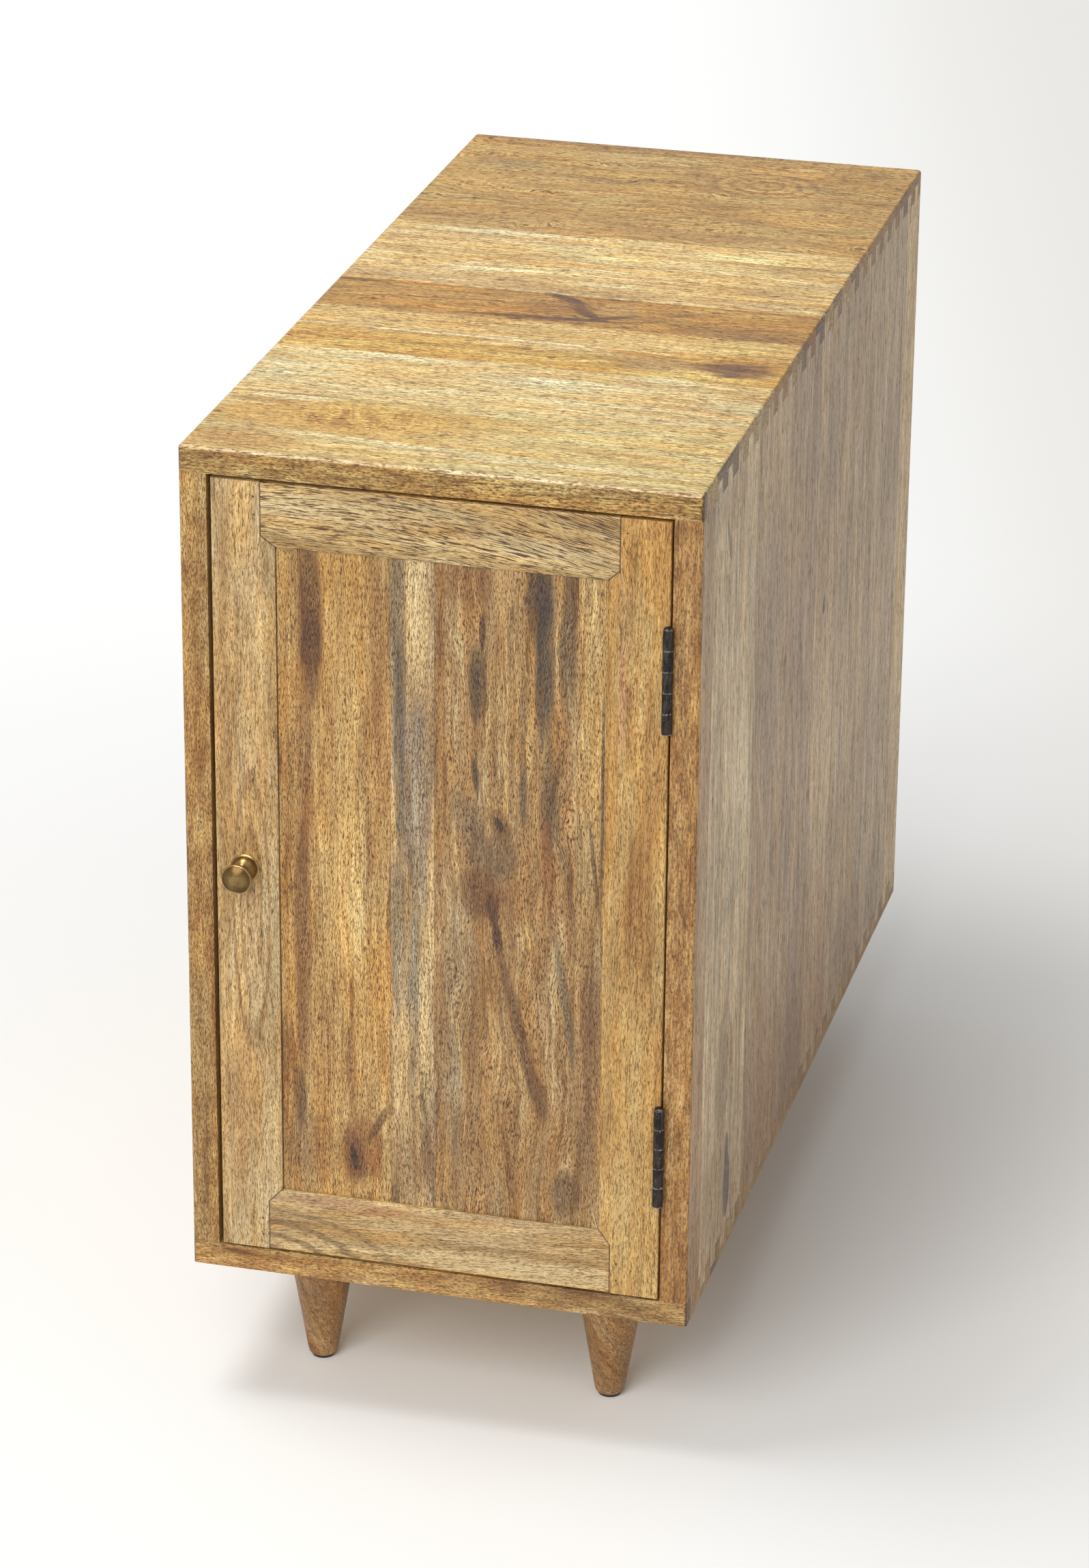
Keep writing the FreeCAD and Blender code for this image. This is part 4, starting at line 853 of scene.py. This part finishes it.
# ------------------------------------------------------------------ metal and plastic
def make_hinge_steel():
    """Blackened steel, rubbed bright along its ends and high spots."""
    steel = Recipe("blackened_hinge_steel")
    x, y, z = steel.places()
    patch = steel.noise(steel.point(x / 3, y / 3, z / 9), 3.0, 0.6)
    scratch = steel.noise(steel.point(x / 0.5, y / 0.5, z / 2.2), 3.0, 0.7)
    step = (HINGE_LENGTH + KNUCKLE_GAP) / KNUCKLES
    ends = []
    for low in HINGE_LOWS.values():
        place = (z - low) / step
        from_gap = (place - place.math("FLOOR") - 0.5).size() * -step + step / 2
        near = (z - (low + HINGE_LENGTH / 2)).size().math("LESS_THAN", HINGE_LENGTH / 2 + 3)
        ends.append(steel.fade(from_gap, 0.9, 0.0) * near)
    worn = steel.fade(scratch + ends[0].most(ends[1]) * 0.2, 0.63, 0.73)
    colour = steel.mix(steel.fade(patch, 0.35, 0.7), tone(38, 35, 33), tone(72, 66, 62))
    colour = steel.mix(worn, colour, tone(176, 170, 160))
    relief = steel.bump(patch * 0.6 + scratch * 0.4, 0.08)
    return steel.finish(colour, patch * 0.25 + 0.28, relief, Metallic=0.85)


def make_antique_brass():
    """Brass left to tarnish: brown in the hollows, paler on its rims, with turning marks and painted shade
    over the cap's face.
    """
    brass = Recipe("tarnished_brass")
    x, y, z = brass.places()
    across = x - KNOB_PLACE[0]
    up = z - KNOB_PLACE[2]
    reach = (across * across + up * up).math("SQRT")
    turning = brass.noise(brass.point(y / 0.16, reach / 0.25), 2.0, 0.6)
    cloud = brass.noise(brass.point(x / 6, y / 6, z / 6), 3.0, 0.55)
    speck = brass.noise(brass.point(x / 0.5, y / 0.5, z / 0.5), 2.0)
    colour = brass.mix(brass.fade(cloud, 0.3, 0.7), tone(112, 88, 54), tone(156, 128, 82))
    cap_edge, cap_face, neck = FRONT - 16.8, FRONT - 18.0, FRONT - 9.4
    # Painted shade: the cap's outer face darkens towards its rim.
    cap_face_shade = brass.fade(reach, 3.0, 8.0) * brass.fade(y, cap_edge, cap_face)
    colour = brass.mix(cap_face_shade * 0.75, colour, tone(76, 55, 30))
    # Paler brass on the rims of the cap and of the flange.
    pale_rim = brass.fade(reach, 8.3, 8.9)
    colour = brass.mix(pale_rim, colour, tone(172, 146, 102))
    hollow = brass.fade((y - neck).size(), 4.6, 1.0)
    colour = brass.mix(hollow * 0.75, colour, tone(70, 50, 32))
    colour = brass.mix(brass.fade(speck, 0.68, 0.78), colour, tone(58, 42, 28))
    relief = brass.bump(turning, 0.02)
    return brass.finish(colour, cloud * 0.12 + 0.18, relief, Metallic=1.0)


def make_plated_steel(name, shade, roughness):
    """Plated steel with faint clouding and fine marks."""
    steel = Recipe(name)
    x, y, z = steel.places()
    cloud = steel.noise(steel.point(x / 5, y / 5, z / 5), 3.0, 0.6)
    marks = steel.noise(steel.point(x / 0.3, y / 0.9, z / 0.9), 3.0, 0.7)
    pale = tuple(min(part + 34, 255) for part in shade)
    colour = steel.mix(cloud * 0.6 + marks * 0.4, tone(*shade), tone(*pale))
    return steel.finish(colour, marks * 0.25 + roughness, steel.bump(marks, 0.01), Metallic=0.95)


def make_moulded(name, shade, roughness, metallic=0.0):
    """Moulded or sintered material with a fine, even texture."""
    plastic = Recipe(name)
    x, y, z = plastic.places()
    grit = plastic.noise(plastic.point(x / 0.35, y / 0.35, z / 0.35), 2.0)
    cloud = plastic.noise(plastic.point(x / 8, y / 8, z / 8), 3.0)
    pale = tuple(min(part + 16, 255) for part in shade)
    colour = plastic.mix(cloud, tone(*shade), tone(*pale))
    return plastic.finish(colour, grit * 0.2 + roughness, plastic.bump(grit, 0.02), Metallic=metallic)


# ------------------------------------------------------------------ turned pieces and screws
WAYS = {"+x": (1, 0, 0), "-x": (-1, 0, 0), "+y": (0, 1, 0), "-y": (0, -1, 0), "+z": (0, 0, 1)}


def nothing_selected():
    """An operator acts on all that is selected, so each piece starts from here."""
    bpy.ops.object.select_all(action="DESELECT")


def settle(piece):
    """Put a piece's place into its mesh, close its seams and turn its faces outwards."""
    nothing_selected()
    piece.select_set(True)
    bpy.context.view_layer.objects.active = piece
    bpy.ops.object.transform_apply(location=True, rotation=True, scale=True)
    bpy.ops.object.mode_set(mode="EDIT")
    bpy.ops.mesh.select_all(action="SELECT")
    bpy.ops.mesh.remove_doubles(threshold=1e-6)
    bpy.ops.mesh.normals_make_consistent(inside=False)
    bpy.ops.object.mode_set(mode="OBJECT")
    bpy.ops.object.shade_smooth_by_angle(angle=math.radians(35))
    return piece


def turned(name, foot, way, rings, sides):
    """A turned solid: a disc drawn out ring by ring. A ring is (distance from the foot, radius), and a
    last ring without a radius closes the solid in a point."""
    nothing_selected()
    direction = Vector(WAYS[way])
    start = (Vector(foot) + direction * rings[0][0]) * MM
    facing = direction.to_track_quat("Z", "Y").to_euler()
    bpy.ops.mesh.primitive_circle_add(vertices=sides, radius=rings[0][1] * MM, fill_type="NGON",
                                      location=start, rotation=facing)
    piece = bpy.context.object
    piece.name = name
    bpy.ops.object.mode_set(mode="EDIT")
    bpy.ops.mesh.select_all(action="SELECT")
    nearly_closed = 0.001
    for (before, old), (reach, radius) in zip(rings[:-1], rings[1:]):
        move = direction * ((reach - before) * MM)
        bpy.ops.mesh.extrude_region_move(TRANSFORM_OT_translate={"value": move})
        middle = (Vector(foot) + direction * reach) * MM
        scale = max(radius, nearly_closed) / old
        bpy.ops.transform.resize(value=(scale, scale, scale), center_override=middle)
    if rings[-1][1] == 0:
        bpy.ops.mesh.merge(type="CENTER")
    bpy.ops.object.mode_set(mode="OBJECT")
    return settle(piece)


def joined(name, parts):
    """Several loose pieces as one object."""
    nothing_selected()
    for part in parts:
        part.select_set(True)
    bpy.context.view_layer.objects.active = parts[0]
    if len(parts) > 1:
        bpy.ops.object.join()
    whole = bpy.context.object
    whole.name = name
    return whole


def dress(piece, body, slot, material, *nodes):
    """Give a piece its material, the body it rides on and the nodes it stands for."""
    piece.data.materials.clear()
    piece.data.materials.append(material)
    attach(piece, body)
    if nodes:
        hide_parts(*nodes)
    return piece


def make_knob(material):
    """The knob: a thin flange, a bell-shaped base, a narrow neck and a beaded, shallow-coned cap."""
    flange = [(0.0, 8.75), (0.25, 8.9), (0.85, 8.9), (1.1, 8.7), (1.3, 8.1), (1.42, 7.75)]
    base = [(2.4, 7.66), (3.5, 7.3), (4.6, 6.7), (5.6, 5.95), (6.5, 5.2), (7.3, 4.6), (8.2, 4.22)]
    neck = [(9.2, 4.08), (10.2, 4.12), (11.0, 4.4), (11.8, 5.0), (12.7, 5.95), (13.6, 7.0)]
    cap = [(14.5, 7.95), (15.3, 8.6), (16.1, 9.0), (16.8, 9.17), (17.4, 9.17)]
    bead = [(17.85, 9.0), (18.05, 8.7), (18.0, 8.42), (17.86, 8.22), (18.0, 8.0)]
    cone = [(18.4, 7.3), (18.85, 6.3), (19.3, 5.15), (19.75, 3.9), (20.1, 2.7)]
    tip = [(20.35, 1.7), (20.5, 0.95), (20.58, 0.4), (20.6, 0)]
    knob = turned("brass_knob", KNOB_PLACE, "-y", flange + base + neck + cap + bead + cone + tip, 96)
    return dress(knob, "door", "antique_brass", material, "knob")


def leg_places():
    """The name and the place of each leg."""
    for row, deep in zip(("front", "back"), LEG_DEEP):
        for side, across in (("left", -LEG_ACROSS), ("right", LEG_ACROSS)):
            yield row + "_" + side, (across, deep, 0.0)


def copy_of(piece, name, shift):
    """A copy with its own mesh, moved by millimetres."""
    made = piece.copy()
    made.data = piece.data.copy()
    made.name = name
    bpy.context.scene.collection.objects.link(made)
    made.location = Vector(shift) * MM
    return settle(made)


def make_legs(wood, plastic):
    """Four turned legs with eased feet, each on a low moulded glide."""
    (first_name, first), *others = leg_places()
    taper = [(LEG_TOP, 22.6), (LEG_TOP - 0.4, 23.1), (60.0, 18.31), (30.0, 13.43), (8.0, 9.85)]
    foot = [(4.4, 9.2), (3.1, 8.75), (2.3, 8.1), (2.0, 7.3)]
    glide_rings = [(2.6, 7.0), (1.6, 7.2), (0.7, 7.15), (0.25, 6.9), (0.0, 6.4)]
    legs = [turned("turned_leg_" + first_name, first, "+z", taper + foot, 72)]
    glides = [turned("leg_glide_" + first_name, first, "+z", glide_rings, 48)]
    for name, place in others:
        shift = Vector(place) - Vector(first)
        legs.append(copy_of(legs[0], "turned_leg_" + name, shift))
        glides.append(copy_of(glides[0], "leg_glide_" + name, shift))
    for leg, glide in zip(legs, glides):
        dress(leg, "cabinet", "leg_wood", wood, "legs")
        dress(glide, "cabinet", "glide_plastic", plastic, "glides")


def cross_recess(screw, face, way, radius, depth):
    """Cut a cross into a screw's head with two crossed bars."""
    reach, narrow = radius * 1.16, radius * 0.26
    bars = []
    for wide, tall in ((reach, narrow), (narrow, reach)):
        nothing_selected()
        bpy.ops.mesh.primitive_cube_add(size=1.0, location=Vector(face) * MM)
        bar = bpy.context.object
        bar.scale = (wide * MM, tall * MM, depth * 2 * MM)
        bar.rotation_mode = "QUATERNION"
        bar.rotation_quaternion = Vector(WAYS[way]).to_track_quat("Z", "Y")
        bars.append(settle(bar))
    for bar in bars:
        nothing_selected()
        bpy.context.view_layer.objects.active = screw
        cutter = screw.modifiers.new("cross", "BOOLEAN")
        cutter.operation = "DIFFERENCE"
        cutter.solver = "EXACT"
        cutter.object = bar
        bpy.ops.object.modifier_apply(modifier=cutter.name)
        bpy.data.objects.remove(bar)
    return settle(screw)


def wood_screw(name, head_at, way, size):
    """A countersunk screw with a slightly domed head, a cross recess and a pointed end."""
    head, shank, length = size
    proud = 0.12
    sink = head - shank
    dome = [(-proud, head * 0.55), (-proud * 0.7, head * 0.85), (0.02, head), (0.22, head)]
    shaft = [(sink * 0.7, shank * 1.05), (length * 0.85, shank), (length, 0)]
    screw = turned(name, head_at, way, dome + shaft, 24)
    face = Vector(head_at) - Vector(WAYS[way]) * proud
    return cross_recess(screw, face, way, head, head * 0.3)


def screw_row(name, node, body, slot, material, places, way, size):
    """One row of equal screws, as one piece for its node."""
    first = wood_screw(name, places[0], way, size)
    copies = [copy_of(first, name + "_copy", Vector(place) - Vector(places[0])) for place in places[1:]]
    return dress(settle(joined(name, [first] + copies)), body, slot, material, node)


def make_leaf_screws(black):
    """Three screws in each hinge leaf, the middle one further from the knuckles."""
    spacing = 21.6
    deep = (FRONT + 6.7, FRONT + 10.9, FRONT + 6.7)
    leaves = (("frame", "cabinet", 136.0, "+x"), ("door", "door", 135.7, "-x"))
    for which, low in HINGE_LOWS.items():
        middle = low + HINGE_LENGTH / 2
        levels = (middle - spacing, middle, middle + spacing)
        for leaf, body, face, way in leaves:
            places = [(face, y, z) for y, z in zip(deep, levels)]
            screw_row(f"{which}_{leaf}_leaf_screws", f"{which}_hinge_{leaf}_screws", body, "hinge_steel",
                      black, places, way, LEAF_SCREW)


def make_back_screws(plated):
    """Three screws down each side of the back panel."""
    across, level, spacing = 140.5, 352.5, 189
    places = [(side * across, BACK - 0.12, level + row * spacing) for side in (-1, 1) for row in (-1, 0, 1)]
    screw_row("back_panel_screws", "back_screws", "cabinet", "zinc_steel", plated, places, "-y", BACK_SCREW)


def make_catch_screws(plated):
    """Two screws up into the top board for the catch, and two in the door for its strike plate."""
    middle = -74.0
    catch = [(middle + side * 19.0, -284.7, 585.6) for side in (-1, 1)]
    strike = [(middle + side * 11.4, -293.5, 592.4) for side in (-1, 1)]
    screw_row("catch_fixing_screws", "catch_screws", "cabinet", "zinc_steel", plated, catch, "+z",
              CATCH_SCREW)
    screw_row("strike_fixing_screws", "strike_screws", "door", "zinc_steel", plated, strike, "-y",
              STRIKE_SCREW)


def make_knob_screw(plated):
    """The pan-headed screw that holds the knob from behind."""
    place = (KNOB_PLACE[0], DOOR_BACK, KNOB_PLACE[2])
    head, tall, shank, length = 4.2, 2.4, 2.0, 27.0
    pan = [(tall, 2.0), (2.3, 3.0), (1.9, 3.8), (1.2, 4.15), (0.0, head)]
    shaft = [(-0.02, shank), (1.0 - length, shank), (-length, 1.4)]
    screw = turned("knob_fixing_screw", place, "+y", pan + shaft, 32)
    cross_recess(screw, Vector(place) + Vector((0, tall, 0)), "-y", head, 1.2)
    return dress(screw, "door", "zinc_steel", plated, "knob_screw")


def make_hinge_pins(material):
    """Loose pins with a low button head at the top and a rounded end below."""
    shank = 1.45
    below = [(-0.35, 1.1), (-0.3, 2.2), (0.0, 2.7), (0.02, shank)]
    button = [(0.02, 2.5), (0.5, 2.6), (0.9, 2.3), (1.25, 1.6), (1.45, 0.8), (1.5, 0)]
    rings = below + [(HINGE_LENGTH, shank)] + [(HINGE_LENGTH + rise, radius) for rise, radius in button]
    for which, low in HINGE_LOWS.items():
        pin = turned(which + "_turned_pin", (*HINGE_AXIS, low), "+z", rings, 36)
        dress(pin, "cabinet", "hinge_steel", material, which + "_hinge_pin")


def make_shelf_pegs(material):
    """Four plain pegs with eased ends, 8 mm deep in the sides and 9 mm proud of them."""
    level, inset, hole = 342.7, 60, 8
    rings = [(0.0, 2.2), (0.3, 2.5), (16.3, 2.5), (16.8, 2.2), (17.0, 1.6)]
    pegs = []
    for side, way in ((-1, "+x"), (1, "-x")):
        for deep in (FRONT + inset, BACK - inset):
            pegs.append(turned("shelf_peg", (side * (INNER + hole), deep, level), way, rings, 24))
    whole = settle(joined("turned_shelf_pegs", pegs))
    return dress(whole, "cabinet", "zinc_steel", material, "shelf_pegs")


# ------------------------------------------------------------------ put the table together
def paint(material, *nodes):
    """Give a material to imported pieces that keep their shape."""
    for node in nodes:
        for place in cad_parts[node].material_slots:
            place.material = material


plated_steel = make_plated_steel("plated_steel", (168, 168, 162), 0.3)
dark_pin_steel = make_plated_steel("dull_pin_steel", (92, 76, 60), 0.45)
hinge_steel = make_hinge_steel()
black_plastic = make_moulded("black_glide_plastic", (24, 23, 22), 0.5)

BOARDS = {
    "top_board": make_top_board,
    "bottom_board": make_bottom_board,
    "left_side_board": make_left_side,
    "right_side_board": make_right_side,
    "back_panel": make_back_wood,
    "shelf": make_shelf_wood,
    "latch_stile": make_latch_stile,
    "hinge_stile": make_hinge_stile,
    "top_rail": make_top_rail,
    "bottom_rail": make_bottom_rail,
    "door_panel": make_panel_wood,
}
for board, make_wood in BOARDS.items():
    paint(make_wood(), board)
paint(dark_pin_steel, "tenon_pins")
paint(plated_steel, "catch_pole_plates", "strike_plate", "hanger_bolts")
paint(make_moulded("brown_catch_plastic", (82, 56, 36), 0.45), "catch_housing")
paint(make_moulded("dark_magnet", (44, 44, 46), 0.6, 0.3), "catch_magnet")
paint(hinge_steel, "upper_hinge_frame_leaf", "upper_hinge_door_leaf", "lower_hinge_frame_leaf",
      "lower_hinge_door_leaf")

make_knob(make_antique_brass())
make_legs(make_leg_wood(), black_plastic)
make_hinge_pins(hinge_steel)
make_leaf_screws(hinge_steel)
make_back_screws(plated_steel)
make_catch_screws(plated_steel)
make_knob_screw(plated_steel)
make_shelf_pegs(plated_steel)


# ------------------------------------------------------------------ floor, lights and camera
SOFT_WHITE = (1.0, 0.995, 0.985)
CAMERA_PLACE = (0.73951, -2.97994, 1.62117)
CAMERA_TURN = (66.596, -0.4957, 14.445)      # degrees
CAMERA_LENS = 120.493                        # millimetres, for a sensor 36 mm tall
SENSOR = 36.0


def seen(tree):
    """1 on what is looked at, also as metal and glass show it, and 0 on what only gives light."""
    path = tree.nodes.new("ShaderNodeLightPath")
    rays = ("Is Camera Ray", "Is Glossy Ray", "Is Transmission Ray")
    camera, glossy, clear = (Field(tree, path.outputs[ray]) for ray in rays)
    return (camera + glossy + clear).least(1.0)


def make_floor():
    """Pale paper that keeps the table's shadow near it and further off turns into a glowing backdrop, with
    painted falloff of light from white at the left to grey at the right.
    """
    nothing_selected()
    bpy.ops.mesh.primitive_plane_add(size=60.0, location=(0, 0, 0))
    floor = bpy.context.object
    floor.name = "studio_floor"
    paper = Recipe("pale_floor_paper")
    x, y, z = paper.places()
    cloud = paper.noise(paper.point(x / 900, y / 900), 2.0)
    colour = paper.mix((cloud - 0.5).size() * 0.08, tone(250, 250, 249), tone(236, 234, 230))
    paper.finish(colour, 0.9, Specular_IOR_Level=0.1)
    # Painted light: from 150 mm out the glowing backdrop takes over from the lit paper, and lightens the
    # outer part of the table's shadow.
    far = paper.fade((x * x + y * y).math("SQRT"), 150.0, 1250.0)
    # Painted falloff of light across the backdrop, white at the left and grey at the right.
    falloff_across = paper.fade(x + y * 0.25, 30.0, 620.0)
    left_white, right_falloff_grey = (1.02, 1.02, 1.01, 1.0), (0.82, 0.81, 0.785, 1.0)
    backdrop = paper.node("ShaderNodeEmission", {"Color": paper.mix(falloff_across, left_white, right_falloff_grey)})
    both = paper.tree.nodes.new("ShaderNodeMixShader")
    feed(paper.tree, both.inputs[0], seen(paper.tree) * far)
    paper.tree.links.new(paper.surface.outputs[0], both.inputs[1])
    feed(paper.tree, both.inputs[2], backdrop)
    paper.tree.links.new(both.outputs[0], paper.tree.nodes["Material Output"].inputs["Surface"])
    floor.data.materials.append(paper.material)


def area_light(name, place, target, size, power):
    """A square softbox at a place, aimed at a target, all in metres and watts."""
    lamp = bpy.data.lights.new(name, "AREA")
    lamp.shape = "SQUARE"
    lamp.size = size
    lamp.energy = power
    lamp.color = SOFT_WHITE
    lit = bpy.data.objects.new(name, lamp)
    lit.location = place
    lit.rotation_euler = (Vector(target) - Vector(place)).to_track_quat("-Z", "Y").to_euler()
    lit.visible_camera = False
    bpy.context.scene.collection.objects.link(lit)


def make_world():
    """A pale surround, brighter where it is looked at than where it only gives light."""
    world = bpy.data.worlds.new("studio")
    bpy.context.scene.world = world
    world.use_nodes = True
    sky = world.node_tree.nodes["Background"]
    lighting, looked_at = 0.36, 0.9
    strength = seen(world.node_tree) * (looked_at - lighting) + lighting
    feed(world.node_tree, sky.inputs["Strength"], strength)
    sky.inputs["Color"].default_value = (*SOFT_WHITE, 1.0)


def make_camera():
    """The camera, in front of the table, to its right and above it."""
    data = bpy.data.cameras.new("camera")
    data.sensor_fit = "VERTICAL"
    data.sensor_height = SENSOR
    data.sensor_width = SENSOR
    data.lens = CAMERA_LENS
    camera = bpy.data.objects.new("camera", data)
    camera.location = CAMERA_PLACE
    camera.rotation_euler = [math.radians(angle) for angle in CAMERA_TURN]
    bpy.context.scene.collection.objects.link(camera)
    bpy.context.scene.camera = camera


make_floor()
area_light("overhead_softbox", (-0.67, -0.36, 2.53), (-0.2, -0.11, 0.0), size=0.88, power=25.0)
area_light("front_softbox", (-0.71, -3.95, 2.76), (0.0, 0.0, 0.3), size=2.9, power=134.0)
make_world()
make_camera()
bpy.context.scene.view_settings.view_transform = "Standard"
